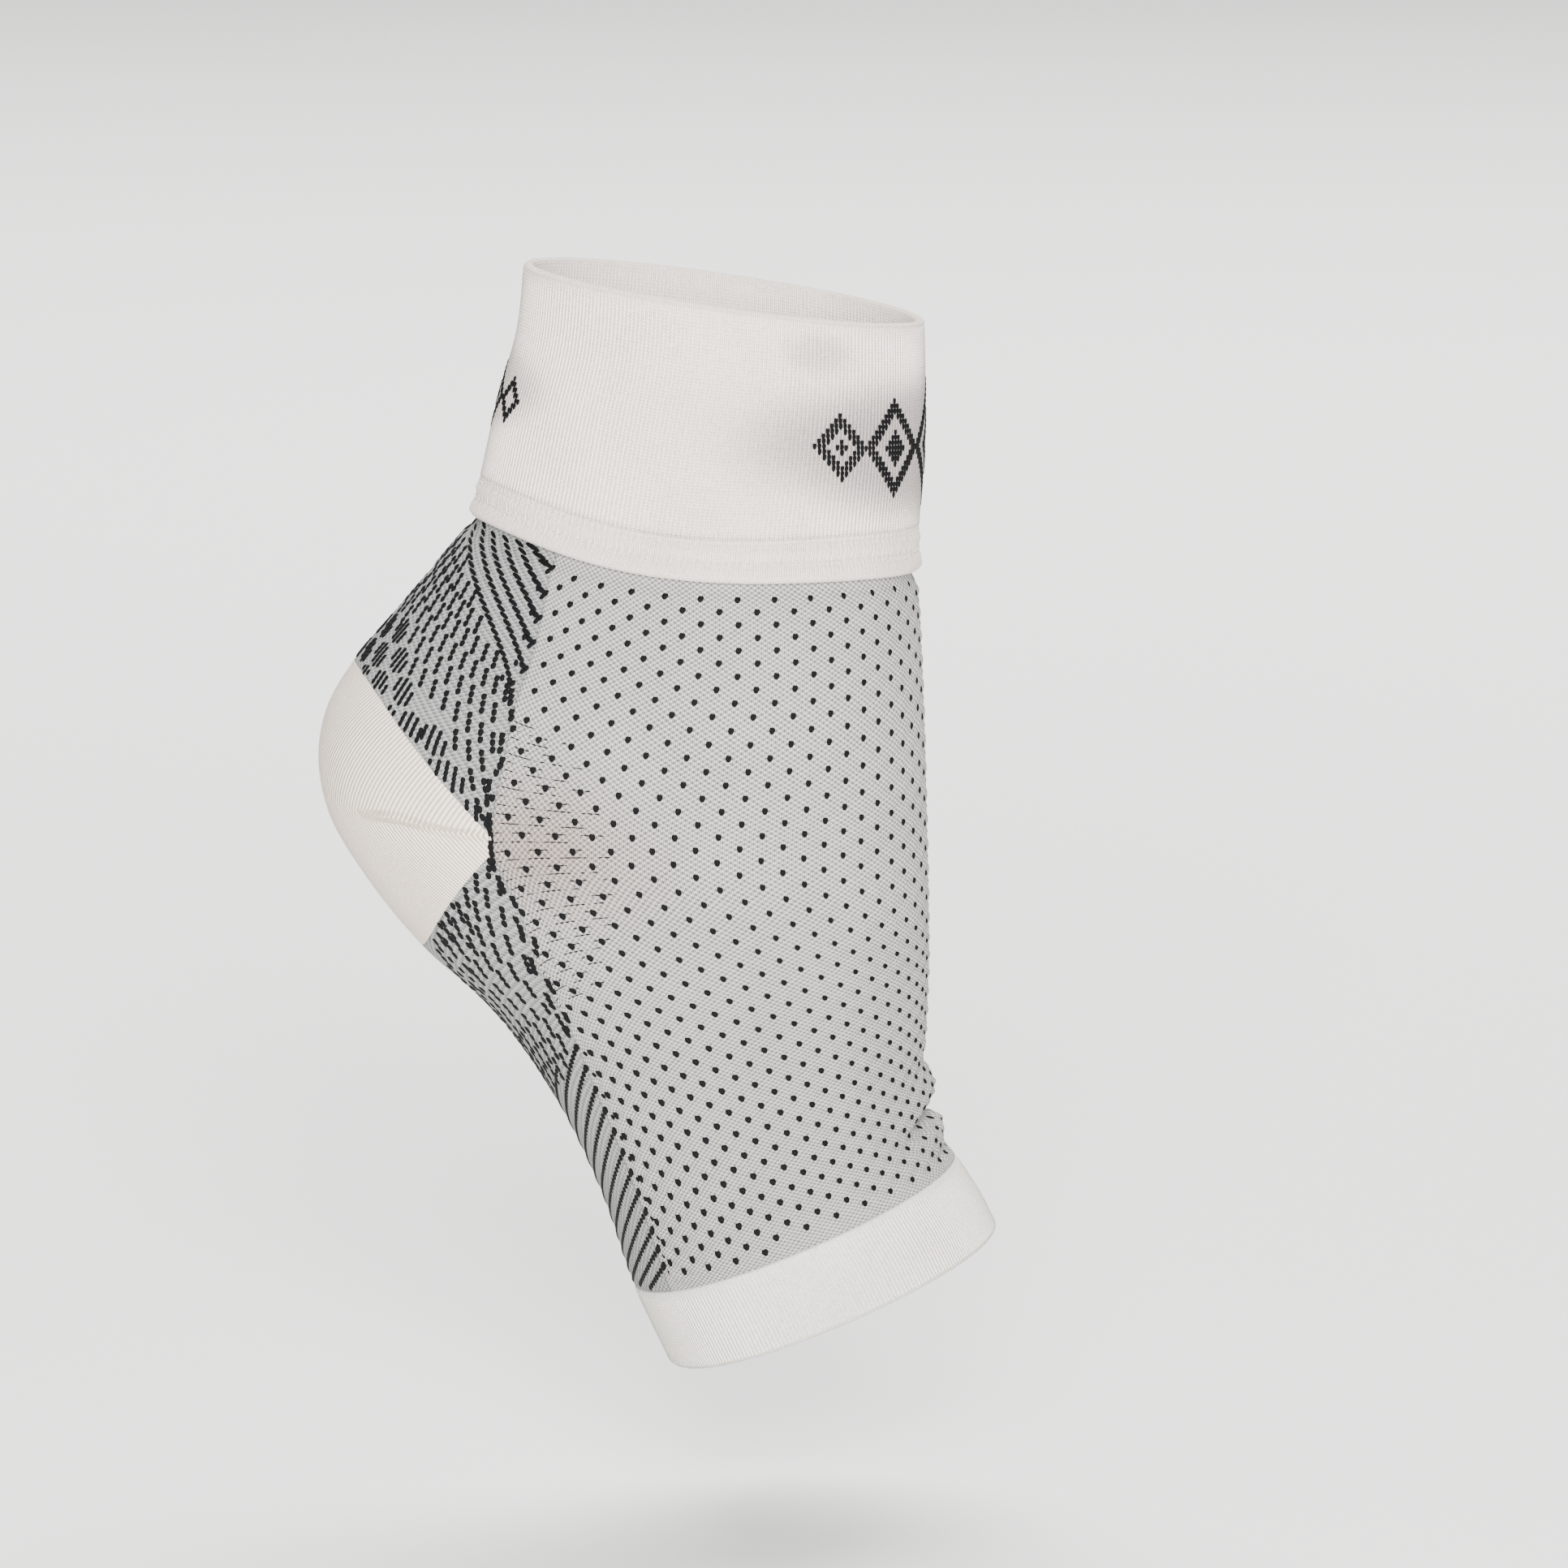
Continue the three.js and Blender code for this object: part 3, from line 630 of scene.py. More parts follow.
cuff_shades = {"float_shadow": float_shadow(cuff_level, cuff_turn + 0 * cuff_level)}
cuff_cloth = [cuff_level, cuff_turn, cuff_lift, rib_phase, cuff_along]
cuff = ring_piece("rib_cuff", "ankle_cuff", "cuff_rib", CUFF_KNIT, *cuff_cloth, cuff_shades)
print("cuff:", cuff_ribs, "ribs round", round(cuff_girth, 1), "mm")

# %% [markdown]
# ## Knitted diamonds
# At the cuff's front and back stands a plain row of diamonds in black stitches, as on many ribbed cuffs.
# A knitted motif is a chart of squares, so each diamond is a set of cells with one V stitch for each.
# They are knitted in, not printed, so they are loops of yarn on the face of the ribs.

# %% Motif chart
MOTIF_LEVEL = 25
MOTIF_CELL = (0.88, 1.02)
# Columns: level from the motif's middle, cells from the middle line, size, rim
FRONT_DIAMONDS = [(0, 0, 12, 3), (0, 0, 6, 3), (0, 21, 9, 3), (0, 21, 3, 0), (0, 36, 6, 3), (0, 36, 1, 0)]
BACK_DIAMONDS = [(0, 0, 6, 2), (0, 0, 2, 0), (0, 11, 4, 2)]


def diamond(size, rim):
    """Stitch cells with |a| + |b| near the size: an outline rim cells thick. Rim 0 fills it."""
    a, b = (v.ravel() for v in np.meshgrid(np.arange(-size, size + 1), np.arange(-size, size + 1)))
    reach = np.abs(a) + np.abs(b)
    keep = (reach <= size) & (reach > size - rim if rim else True)
    return np.stack([a[keep], b[keep]])


def motif_cells(diamonds):
    """Cells of all the diamonds of one motif, on the right-hand side and the middle line."""
    cells = [diamond(size, rim) + [[at], [down]] for down, at, size, rim in diamonds]
    cells = np.unique(np.concatenate(cells, 1), axis=1)
    return cells[:, cells[0] >= 0]


def turn_length(level, turn):
    """Millimetres of cloth for each unit of turn."""
    return np.linalg.norm(tangents(level, turn)[1], axis=-1)


def motif_stitches(diamonds, middle):
    """Level and turn of each cell beside the middle line, which is at turn 0 or 1."""
    across, down = motif_cells(diamonds)
    level = MOTIF_LEVEL + MOTIF_CELL[1] * down
    per_turn = turn_length(level, np.abs(middle - 0.1) + 0 * level)
    return level, np.abs(middle - (across + 0.5) * MOTIF_CELL[0] / per_turn)


# %% [markdown]
# ## Hem
# Below the cuff the doubled cloth is sewn over the thin knit with two rows of stitches. Each row pulls
# the cloth down into a shallow groove, so the hem swells into two soft rolls.

# %% Hem
# Columns: at, a share of the hem's depth from its upper edge, and lift, a share of its roll
HEM_PROFILE = np.array([
    (0.0, 0.0),
    (0.12, -0.2),
    (0.3, 0.5),
    (0.52, 0.1),
    (0.75, 1.0),
    (0.95, 0.8),
    (1.0, 0.0),
])
HEM_RIB_DEPTH = 0.1
GROOVES = (0.13, 0.52)
GROOVE_WIDTH = 0.8
PUCKER = 0.28
PUCKER_RIBS = 1.53
hem_share = np.linspace(0, 1, 24)[:, None]
hem_top = (hem_line(cuff_turn) - HEM_DEPTH)[None]
hem_level = hem_top + HEM_DEPTH * hem_share


def hem_roll(share):
    """Height of the hem's face by its profile."""
    return smooth_rows(HEM_PROFILE[:, 0], HEM_PROFILE[:, 1:], share)[..., 0] * HEM_ROLL


groove = sum(np.exp(-(((hem_share - at) * HEM_DEPTH / GROOVE_WIDTH) ** 2)) for at in GROOVES)
hem_lift = hem_roll(hem_share) + rib(rib_phase[:-1], HEM_RIB_DEPTH) * np.sin(np.pi * hem_share)
hem_lift = hem_lift + rib(rib_phase[:-1] / PUCKER_RIBS, PUCKER * groove)
hem_under_level = hem_top + HEM_DEPTH * np.linspace(1, 0, 5)[:, None]
hem_under_lift = np.full_like(hem_under_level, -HEM_SEAT)
hem_level = np.concatenate([hem_level, hem_under_level])
hem_lift = np.concatenate([hem_lift, hem_under_lift])
hem_along = np.linspace(0, 2 * HEM_DEPTH / COURSE, len(hem_level) + 1)
hem_cloth = [hem_level, cuff_turn, hem_lift, rib_phase, hem_along]
hem = ring_piece("rolled_hem", "cuff_hem", "cuff_rib", CUFF_KNIT, *hem_cloth)

# %% [markdown]
# ## The dotted body
# The thin knit of the instep has black dots in a staggered lattice, and puffs up between them where the
# dot's float holds it down. The lattice was laid out on the cloth once, as a chart: i counts half steps
# round from the seam of the firm panels (-13) to the front line (13), and j counts half steps along.
# Building the mesh on the chart's own grid makes puffs, dots and loops fall in step without any search.

# %% Chart of the dotted body
FRONT_STEP = 13
SEAM_STEP = -13
# Columns: side, quarter, front, bend. The first three are the share of the body's length at that half
# step, at the seam, between, and on the front line. Bend packs the steps closer to the front.
CHART_STEPS = np.array([-21, -17, -13, -9, -5, -1, 3, 7, 11, 15, 19, 23, 27, 31, 35, 39], float)
CHART = np.array([
    (-0.045, -0.045, -0.054, 0.31),
    (0.024, 0.024, 0.013, 0.31),
    (0.093, 0.099, 0.080, 0.31),
    (0.168, 0.176, 0.149, 0.32),
    (0.254, 0.255, 0.219, 0.33),
    (0.345, 0.330, 0.293, 0.35),
    (0.450, 0.402, 0.363, 0.35),
    (0.550, 0.483, 0.438, 0.33),
    (0.645, 0.565, 0.520, 0.30),
    (0.716, 0.645, 0.599, 0.25),
    (0.770, 0.716, 0.677, 0.19),
    (0.819, 0.780, 0.756, 0.15),
    (0.865, 0.841, 0.828, 0.12),
    (0.912, 0.900, 0.890, 0.07),
    (0.955, 0.957, 0.965, 0.06),
    (0.998, 1.014, 1.040, 0.05),
])
QUARTER_AT = 0.548
ROOT_START = 0.1
FIRST_SEAM = 0.3
# Level depends on turn and turn on level, so a few passes bring both home
SETTLING_PASSES = 6


def chart_place(i, j):
    """Level and turn of a chart place. Sigma runs 0 to 1 from seam to front. The share of the length is
    the parabola through side, quarter and front over the root of the bent sigma."""
    i, j = np.broadcast_arrays(np.asarray(i, float), np.asarray(j, float))
    side = np.where(i > FRONT_STEP, -1.0, 1.0)
    folded = np.where(i > FRONT_STEP, 2 * FRONT_STEP - i, i)
    sigma = np.clip((folded - SEAM_STEP) / (FRONT_STEP - SEAM_STEP), 0, 1)
    at_side, at_quarter, at_front, bend = np.moveaxis(smooth_rows(CHART_STEPS, CHART, j), -1, 0)
    round_share = sigma - bend * sigma * (1 - sigma)
    s = (np.sqrt(round_share + ROOT_START**2) - ROOT_START) / (np.sqrt(1 + ROOT_START**2) - ROOT_START)
    q = QUARTER_AT
    share = at_side * (s - q) * (s - 1) / q
    share = share + at_quarter * s * (s - 1) / (q * (q - 1)) + at_front * s * (s - q) / (1 - q)
    turn = FIRST_SEAM * (1 - round_share) + round_share
    for _ in range(SETTLING_PASSES):
        base = hem_line(turn)
        level = base + share * (LEVEL["bandTop"] - base)
        seam = panel_turn(level)
        turn = seam + (1 - seam) * round_share
    return level, side * turn, share


# %% Body mesh
BODY_COLUMNS = 208
BODY_ROWS = 220
PUFF = 0.26
PUFF_LOW = 0.42
PUFF_GROWTH = (0.45, 0.75)
SEAM_FADE = (0, 1.2)
HEM_FADE = (0.005, 0.03)
END_FADE = (0, 0.02)
WALES_PER_STEP = 5
LAST_STEP = 39.2
FRONT_STEPS_LESS = 2.4

body_i = np.linspace(SEAM_STEP, 2 * FRONT_STEP - SEAM_STEP, BODY_COLUMNS + 1)[None, :]
front_share = 1 - np.abs(body_i - FRONT_STEP) / (FRONT_STEP - SEAM_STEP)
last_j = LAST_STEP - FRONT_STEPS_LESS * front_share**0.7
body_j = CHART_STEPS[0] + (last_j - CHART_STEPS[0]) * np.linspace(0, 1, BODY_ROWS + 1)[:, None]
body_level, body_turn, body_share = chart_place(body_i, body_j)
end_miss = LEVEL["bandTop"] - body_level[-1:]
body_level = body_level + end_miss * np.linspace(0, 1, BODY_ROWS + 1)[:, None] ** 6


def puff_lift(i, j, share):
    """A product of two cosines, low at each dot and high between dots. It fades at all four edges."""
    from_seam = np.minimum(i - SEAM_STEP, 2 * FRONT_STEP - SEAM_STEP - i)
    fade = smoothstep(from_seam, *SEAM_FADE) * smoothstep(share, *HEM_FADE) * smoothstep(1 - share, *END_FADE)
    height = PUFF + (PUFF_LOW - PUFF) * smoothstep(share, *PUFF_GROWTH)
    return -height * np.cos(np.pi * i) * np.cos(np.pi * j) * fade


body_out = body_lift(body_level, body_turn) + puff_lift(body_i, body_j, body_share)
# Thin grey cloth with painted highlights on its tucks and painted shade in the gaps between loops, and a warm
# tone where it is stretched
SKIN_BELL = (13, 0.05, 0.11)
BODY_TONES = {"skin_tone": "ecd9d2"}
BODY_KNIT = knit("dotted_nylon_knit", "d9d6d1", "504e4b", 0.28, tuck_bulge_and_highlight=0.75, tones=BODY_TONES)


def skin_tone(level, turn):
    """By the heel's corner the cloth is stretched thin and takes a warm tone: a soft bell there."""
    high, beside, wide = SKIN_BELL
    near = ((level - CORNER_LEVEL) / high) ** 2 + ((np.abs(turn) - CORNER_TURN - beside) / wide) ** 2
    return np.exp(-near)


body_map = [WALES_PER_STEP * (body_i + 0 * body_j), WALES_PER_STEP * (body_j + 0 * body_i)]
body_cloth = [body_level, body_turn, body_out, *body_map]
body_shades = {"skin_tone": skin_tone(body_level, body_turn)}
body = shell_piece("dotted_body", "instep_body", "dotted_knit", BODY_KNIT, *body_cloth, body_shades)


# %% [markdown]
# ## Yarn bits
# Each dark mark is a loop of black yarn: two short lobes that meet at the bottom, like a V. They could
# be painted, but real lobes stand up from the cloth and show at its edge. A lobe is an ellipse swept
# along a line between two places on the cloth, whole arrays of them at once.

# %% Yarn lobes
# A pair of numbers for yarn or thread is the width and height of a lobe, and for a loop those of a V
LOBE_SIDES = 8
LOBE_RINGS = 3


def lobes(name, slot, material, starts, ends, width, height, lift_at):
    """Closed lobes between pairs of level and turn. Each ring is an ellipse whose size follows the root
    of 1 - s^2, so that both ends are round, and the middle is lifted a little."""
    start, _ = cloth_frame(*starts, lift_at(*starts))
    end, _ = cloth_frame(*ends, lift_at(*ends))
    middle_place = [(a + b) / 2 for a, b in zip(starts, ends)]
    middle, normal = cloth_frame(*middle_place, lift_at(*middle_place))
    along = end - start
    sideways = unit(np.cross(normal, along))
    count = len(start)
    s = np.cos(np.pi * np.arange(1, LOBE_RINGS + 1) / (LOBE_RINGS + 1))
    around = 2 * np.pi * np.arange(LOBE_SIDES) / LOBE_SIDES
    size = np.sqrt(1 - s**2)[:, None] / 2
    centre = (start + end) / 2
    bow = (middle - centre)[:, None] * (1 - s**2)[None, :, None]
    spine = centre[:, None] - along[:, None] / 2 * s[None, :, None] + bow
    wide = np.multiply.outer(np.broadcast_to(width, count), size * np.cos(around))[..., None]
    high = np.multiply.outer(np.broadcast_to(height, count), size * np.sin(around))[..., None]
    rings = spine[:, :, None] + sideways[:, None, None] * wide + normal[:, None, None] * high
    poles = np.stack([start, end], 1)
    points = np.concatenate([rings.reshape(count, -1, 3), poles], 1)
    per = points.shape[1]
    k = np.arange(LOBE_SIDES)
    after = (k + 1) % LOBE_SIDES
    first_cap = np.stack([np.full_like(k, per - 2), k, after], -1)
    last = (LOBE_RINGS - 1) * LOBE_SIDES
    last_cap = np.stack([np.full_like(k, per - 1), last + after, last + k], -1)
    faces = [first_cap, last_cap]
    for ring in range(LOBE_RINGS - 1):
        low, high_ring = ring * LOBE_SIDES, (ring + 1) * LOBE_SIDES
        faces.append(np.stack([low + k, high_ring + k, high_ring + after], -1))
        faces.append(np.stack([low + k, high_ring + after, low + after], -1))
    one = np.concatenate(faces)
    faces = (one[None] + per * np.arange(count)[:, None, None]).reshape(-1, 3)
    return make_piece(name, None, material, points.reshape(-1, 3), faces)


def loops_at(level, turn, width, height, lean=0.0):
    """Both legs of a V at each place: from its foot, below, up to its left and right. Lean shifts the
    top sideways, in millimetres."""
    per_turn = turn_length(level, turn)
    foot = (level + height / 2, turn - lean / 2 / per_turn)
    left = (level - height / 2, turn + (lean / 2 - width / 2) / per_turn)
    right = (level - height / 2, turn + (lean / 2 + width / 2) / per_turn)
    starts = [np.concatenate([a, a]) for a in foot]
    ends = [np.concatenate([a, b]) for a, b in zip(left, right)]
    return starts, ends


def both_sides(level, turn):
    """The places, then the same ones on the mirrored side of the sleeve."""
    return np.tile(level, 2), np.append(turn, -turn)


# %% Body dots
DOT_WIDTH = 0.66
DOT_HEIGHT = 1.45
DOT_SINK = 0.16
DOT_YARN = (0.9, 0.5)
dot_i = np.arange(SEAM_STEP + 1, 2 * FRONT_STEP - SEAM_STEP)
dot_i, dot_j = np.meshgrid(dot_i, np.arange(-17, 39), indexing="ij")
is_dot = (dot_i + dot_j) % 2 == 0
dot_level, dot_turn, dot_share = chart_place(dot_i[is_dot], dot_j[is_dot])
inside = (dot_share < 0.985) & (dot_share > 0.01)
dot_level, dot_turn = dot_level[inside], dot_turn[inside]


def body_mark_lift(level, turn):
    """Marks lie in the hollow between the puffs."""
    return body_lift(level, turn) - DOT_SINK


starts, ends = loops_at(dot_level, dot_turn, DOT_WIDTH, DOT_HEIGHT)
dots = lobes("body_dots", "dotted_knit", BLACK_YARN, starts, ends, *DOT_YARN, body_mark_lift)
print("dots:", len(dot_level))

# %% Fine floats by the heel corner
# Beside the heel the black yarn shows through as broken hairlines, two for each row of dots
FINE_YARN = (0.27, 0.16)
FLOAT_ROWS = (-6, 11.5, 0.5)
FLOAT_STEP = 0.36
FLOAT_LENGTH = (0.35, 0.01)
fine_j, fine_k = (a.ravel() for a in np.meshgrid(np.arange(*FLOAT_ROWS), np.arange(0, 19), indexing="ij"))
fine_reach = 16 - 0.13 * (fine_j - 3.0) ** 2 + 3 * np.sin(4.3 * fine_j)
fine_kept = (fine_k < fine_reach) & ((fine_k * 7 + fine_j * 10) % 9 > 0.5)
fine_i = SEAM_STEP + 0.15 + FLOAT_STEP * fine_k[fine_kept]
fine_row = fine_j[fine_kept] + FLOAT_STEP
fine_starts = chart_place(fine_i, fine_row)[:2]
fine_ends = chart_place(fine_i + FLOAT_LENGTH[0], fine_row + FLOAT_LENGTH[1])[:2]
fine_both = [np.stack(both_sides(*places)) for places in (fine_starts, fine_ends)]


def between_dots_lift(level, turn):
    """Hairlines lie on the cloth's mean face."""
    return body_lift(level, turn) + 0.02


fine = lobes("fine_floats", "dotted_knit", BLACK_YARN, *fine_both, *FINE_YARN, between_dots_lift)

# %% [markdown]
# ## Stitches of the cuff and hem
# Each cell of the motif's charts is one V of black yarn on the ribs. The hem is sewn with white thread,
# two rows of short stitches that lie in its grooves. Both are lobes like the dots.

# %% Motif stitches
MOTIF_LOOP = (0.5, 1.3)
MOTIF_YARN = (0.62, 0.34)


def cuff_mark_lift(level, turn):
    """Motif loops lie on the ribs' mean face."""
    return np.full_like(level, -0.02)


front_level, front_turn = motif_stitches(FRONT_DIAMONDS, 1.0)
back_level, back_turn = motif_stitches(BACK_DIAMONDS, 0.0)
motif_level, motif_turn = both_sides(np.append(front_level, back_level), np.append(front_turn, back_turn))
motif_loops = loops_at(motif_level, motif_turn, *MOTIF_LOOP)
motif = lobes("cuff_diamonds", "cuff_rib", BLACK_YARN, *motif_loops, *MOTIF_YARN, cuff_mark_lift)
print("motif loops:", len(motif_level))

# %% Hem stitches
# Rows are millimetres above the hem's lower edge
HEM_ROWS = (7.25, 3.95)
HEM_STITCH = 1.35
HEM_SLANT = 0.12
HEM_THREAD = (0.42, 0.4)
# The whitest thing on the sleeve, so that the rows of sewing show on the white cuff
# Its gap colour is faint painted shade between the loops
WHITE_THREAD = knit("white_sewing_thread", "fffdfa", "cfc8c1", 0.05)
hem_places = even_turns(LEVEL["hem"], int(cuff_girth / HEM_STITCH))[0][:-1]
thread_level = np.concatenate([hem_line(hem_places) - row for row in HEM_ROWS])
thread_turn = np.tile(hem_places, len(HEM_ROWS))
half_stitch = 0.36 * HEM_STITCH / turn_length(thread_level, thread_turn)


def hem_face_lift(level, turn):
    """Thread lies on the hem's face."""
    return hem_roll((level - hem_line(turn) + HEM_DEPTH) / HEM_DEPTH) + 0.02


threads = [thread_level, thread_turn - half_stitch], [thread_level + HEM_SLANT, thread_turn + half_stitch]
hem_threads = lobes("hem_threads", "cuff_rib", WHITE_THREAD, *threads, *HEM_THREAD, hem_face_lift)

# %% [markdown]
# ## Firm panels
# Behind the ankle and under the arch the knit is firmer: black yarn is knitted in at every few stitches.
# The panels are the same grey cloth as the body, and their marks are charted by rule, in level and turn.

# %% Panel meshes
PANEL_WALE = 0.8
PANEL_COURSE = 0.55
# Darker grey cloth; the deep gaps between its loops are painted shade, and its tucks painted highlights
FIRM_KNIT = knit("firm_nylon_knit", "adadab", "323333", 0.26, tuck_bulge_and_highlight=0.55)


def panel_piece(name, node, columns, rows, top_at, end_at, tuck):
    """A firm panel between the two seams, from top_at(turn) to end_at(turn). With tuck it starts
    under the hem."""
    s = np.linspace(-1, 1, columns + 1)[None, :]
    r = np.linspace(0, 1, rows + 1)[:, None]
    level = np.full((rows + 1, columns + 1), CORNER_LEVEL)
    for _ in range(SETTLING_PASSES):
        turn = s * panel_turn(level)
        level = top_at(turn) + (end_at(turn) - top_at(turn)) * r
    turn = s * panel_turn(level)
    lift = body_lift(level, turn) if tuck else 0 * level
    outer = raised(level, turn, lift)
    across = np.cumsum(np.linalg.norm(np.diff(outer, axis=1, prepend=outer[:, :1]), axis=-1), axis=1)
    across = (across - across[:, columns // 2 : columns // 2 + 1]) / PANEL_WALE
    cloth = [level, turn, lift, across, level / PANEL_COURSE]
    return shell_piece(name, node, "firm_knit", FIRM_KNIT, *cloth)


def hem_tuck(turn):
    """Level of the panel's upper edge, under the hem."""
    return hem_line(turn) - TUCK_DEPTH


def band_edge(turn):
    """Level of the band's upper edge."""
    return LEVEL["bandTop"] + 0 * turn


achilles = panel_piece("achilles_knit", "achilles_panel", 120, 110, hem_tuck, pocket_upper, True)
arch = panel_piece("arch_knit", "arch_panel", 120, 120, pocket_lower, band_edge, False)

# %% [markdown]
# ## Heel pocket
# The heel is a pocket of plain knit, turned as in a sock: two halves meet in a mitre line, where the
# rows change their slant. Its loops are too fine to see, so the stripes are drawn by the shader on a map
# that turns at the mitre. The mitre's own stitches stand up, so they are lobes of cream yarn.

# %% Heel pocket mesh
MITRE_LEVEL = 111
MITRE_RIDGE = 0.22
MITRE_WIDTH = 0.9
MITRE_FADE = (0.14, 0.2)
STRIPE_PITCH = 0.84
STRIPE_COURSE = 0.6
STRIPE_ANGLE = np.radians(37)


def mitre_ridge(level, turn):
    """A low ridge along the mitre line that fades out near the back."""
    bell = np.exp(-(((level - MITRE_LEVEL) / MITRE_WIDTH) ** 2))
    return MITRE_RIDGE * bell * smoothstep(np.abs(turn), *MITRE_FADE)


pocket_turn = (CORNER_TURN * np.linspace(-1, 1, 161))[None, :]
pocket_top = pocket_upper(pocket_turn)
pocket_level = pocket_top + (pocket_lower(pocket_turn) - pocket_top) * np.linspace(0, 1, 121)[:, None]
pocket_turn = pocket_turn + 0 * pocket_level
pocket_lift = mitre_ridge(pocket_level, pocket_turn)
pocket_round = np.abs(pocket_turn) * turn_length(MITRE_LEVEL, 0.25)
from_mitre = np.abs(pocket_level - MITRE_LEVEL)
stripe_across = np.cos(STRIPE_ANGLE) * pocket_round - np.sin(STRIPE_ANGLE) * from_mitre
stripe_along = np.sin(STRIPE_ANGLE) * pocket_round + np.cos(STRIPE_ANGLE) * from_mitre
# Soft cream cloth whose fine stripes say which way its rows run; the stripes' hollows are painted shade and
# their ridges painted highlight
HEEL_KNIT = knit("cream_plain_knit", "ecdccd", "b7a491", 0.24, lean=0.2, leg=0.8, bead=0.06)
pocket_map = [stripe_across / STRIPE_PITCH / 2, stripe_along / STRIPE_COURSE]
pocket_cloth = [pocket_level, pocket_turn, pocket_lift, *pocket_map]
pocket = shell_piece("heel_knit_pocket", "heel_pocket", "heel_knit", HEEL_KNIT, *pocket_cloth)

# %% Mitre stitches
# Smooth pale yarn, nearly without gaps, with faint painted shade between its loops
CREAM_THREAD = knit("cream_yarn", "f6ece2", "b5a595", 0.08)
MITRE_STITCH = 0.0068
MITRE_THREAD = (0.5, 0.32)
MITRE_WAVE = (0.35, 47)
# Columns: millimetres down to a leg's end, and how far it runs round, as a share of the stitch
MITRE_LEGS = [(-1.25, 1.0), (1.1, 0.8)]
mitre_turn = np.arange(0.165, CORNER_TURN - 0.004, MITRE_STITCH)
mitre_level = MITRE_LEVEL + MITRE_WAVE[0] * np.sin(mitre_turn * MITRE_WAVE[1])
mitre_level, mitre_turn = both_sides(mitre_level, mitre_turn)
mitre_out = np.sign(mitre_turn) * MITRE_STITCH
mitre_starts = [np.tile(mitre_level, 2), np.tile(mitre_turn, 2)]
mitre_ends = [
    np.concatenate([mitre_level + down for down, _ in MITRE_LEGS]),
    np.concatenate([mitre_turn + out * mitre_out for _, out in MITRE_LEGS]),
]


def mitre_lift(level, turn):
    """On top of the mitre's ridge."""
    return mitre_ridge(level, turn) + 0.03


mitre_legs = [mitre_starts, mitre_ends, *MITRE_THREAD]
mitre = lobes("mitre_stitches", "heel_knit", CREAM_THREAD, *mitre_legs, mitre_lift)

# %% [markdown]
# ## Marks of the firm panels
# Above the heel the marks run in a fan of stepped lines, then in slanted groups of three, and near the
# heel pocket in upright bars of three and five. Under the arch groups of three come first, then slanted
# lines with a thick head at the seam. All of them are lobes of black yarn, and each panel's are one piece.

# %% Fan lines
# Columns: level and turn of the line's lower end, and turn lost for each millimetre above it, and for
# its square
FAN_LINES = [
    (55.6, 0.302, 0.0150, 0.00010),
    (60.9, 0.317, 0.0093, 0.00019),
    (66.1, 0.329, 0.0077, 0.00017),
    (71.4, 0.340, 0.0066, 0.00016),
    (77.1, 0.349, 0.0048, 0.00018),
    (80.8, 0.343, 0.0038, 0.00020),
]
FAN_STEP = 1.36
FAN_RANGE = (0.9, 34)
FAN_TEETH = 1.7
HALF_BAR = 0.58
# Columns: level and turn of a bar's two ends, from the line's lower end, and its width
FAN_HEAD = np.array([
    (-1.1, 0.003, 0.35, 0.001, 1.05),
    (-0.3, 0.001, 1.1, -0.002, 1.05),
    (-1.9, -0.016, -0.3, -0.012, 1.05),
])


def fan_marks():
    """Bars step up each line by a fixed level. They are less steep than the line, so it looks toothed,
    and its lower end has a head. Rows: level and turn of each bar's two ends, and its width."""
    bars = []
    for end_level, end_turn, slope, bend in FAN_LINES:
        d = np.arange(*FAN_RANGE, FAN_STEP)
        level = end_level - d
        turn = end_turn - slope * d - bend * d * d
        keep = (turn > 0.012) & (level > hem_line(turn) + 0.5)
        level, turn, d = level[keep], turn[keep], d[keep]
        reach = FAN_TEETH * (slope + 2 * bend * d) * FAN_STEP / 2
        wide = 0.92 + 0.4 * np.exp(-d / 3)
        bars.append(np.stack([level - HALF_BAR, turn - reach, level + HALF_BAR, turn + reach, wide]))
        bars.append((FAN_HEAD + [end_level, end_turn, end_level, end_turn, 0]).T)
    return np.concatenate(bars, 1)


# %% Groups of three and bars
# Columns: level and turn of a row's middle group, and steps of level and turn to the next group
THREE_ROWS = np.array([
    (47.0, -0.020, 1.30, 0.0370),
    (52.1, 0.045, 1.30, 0.0350),
    (57.2, 0.103, 1.28, 0.0320),
    (62.3, 0.155, 1.26, 0.0290),
    (67.4, 0.203, 1.21, 0.0254),
    (72.8, 0.244, 1.20, 0.0232),
    (77.8, 0.265, 1.32, 0.0226),
    (83.0, 0.281, 1.46, 0.0221),
    (88.4, 0.295, 1.62, 0.0216),
    (93.8, 0.308, 1.55, 0.0207),
    (99.2, 0.319, 1.48, 0.0195),
    (104.6, 0.331, 1.40, 0.0180),
])
THREE_BEND = (-0.03, -0.0008)
THREE_SLANT = (1.42, 0.0026)
# Columns: level and turn of a set of bars
BAR_SETS = [
    (75.0, 0.0), (75.0, 0.054), (75.0, 0.111), (81.2, 0.0), (81.2, 0.054), (81.1, 0.108), (81.0, 0.162),
    (86.9, 0.105), (86.9, 0.155), (87.0, 0.205), (93.0, 0.203), (93.3, 0.243), (94.8, 0.281),
    (100.4, 0.277), (100.9, 0.311), (107.4, 0.338),
]
# Columns: level, and the turn that the sets of bars reach to there
SET_LIMIT = np.array([
    (71.9, 0), (72, 0.14), (78, 0.15), (79, 0.185), (84, 0.2), (85, 0.235), (89.5, 0.24), (90.5, 0.3),
    (97, 0.305), (98, 0.33), (104, 0.335),
])
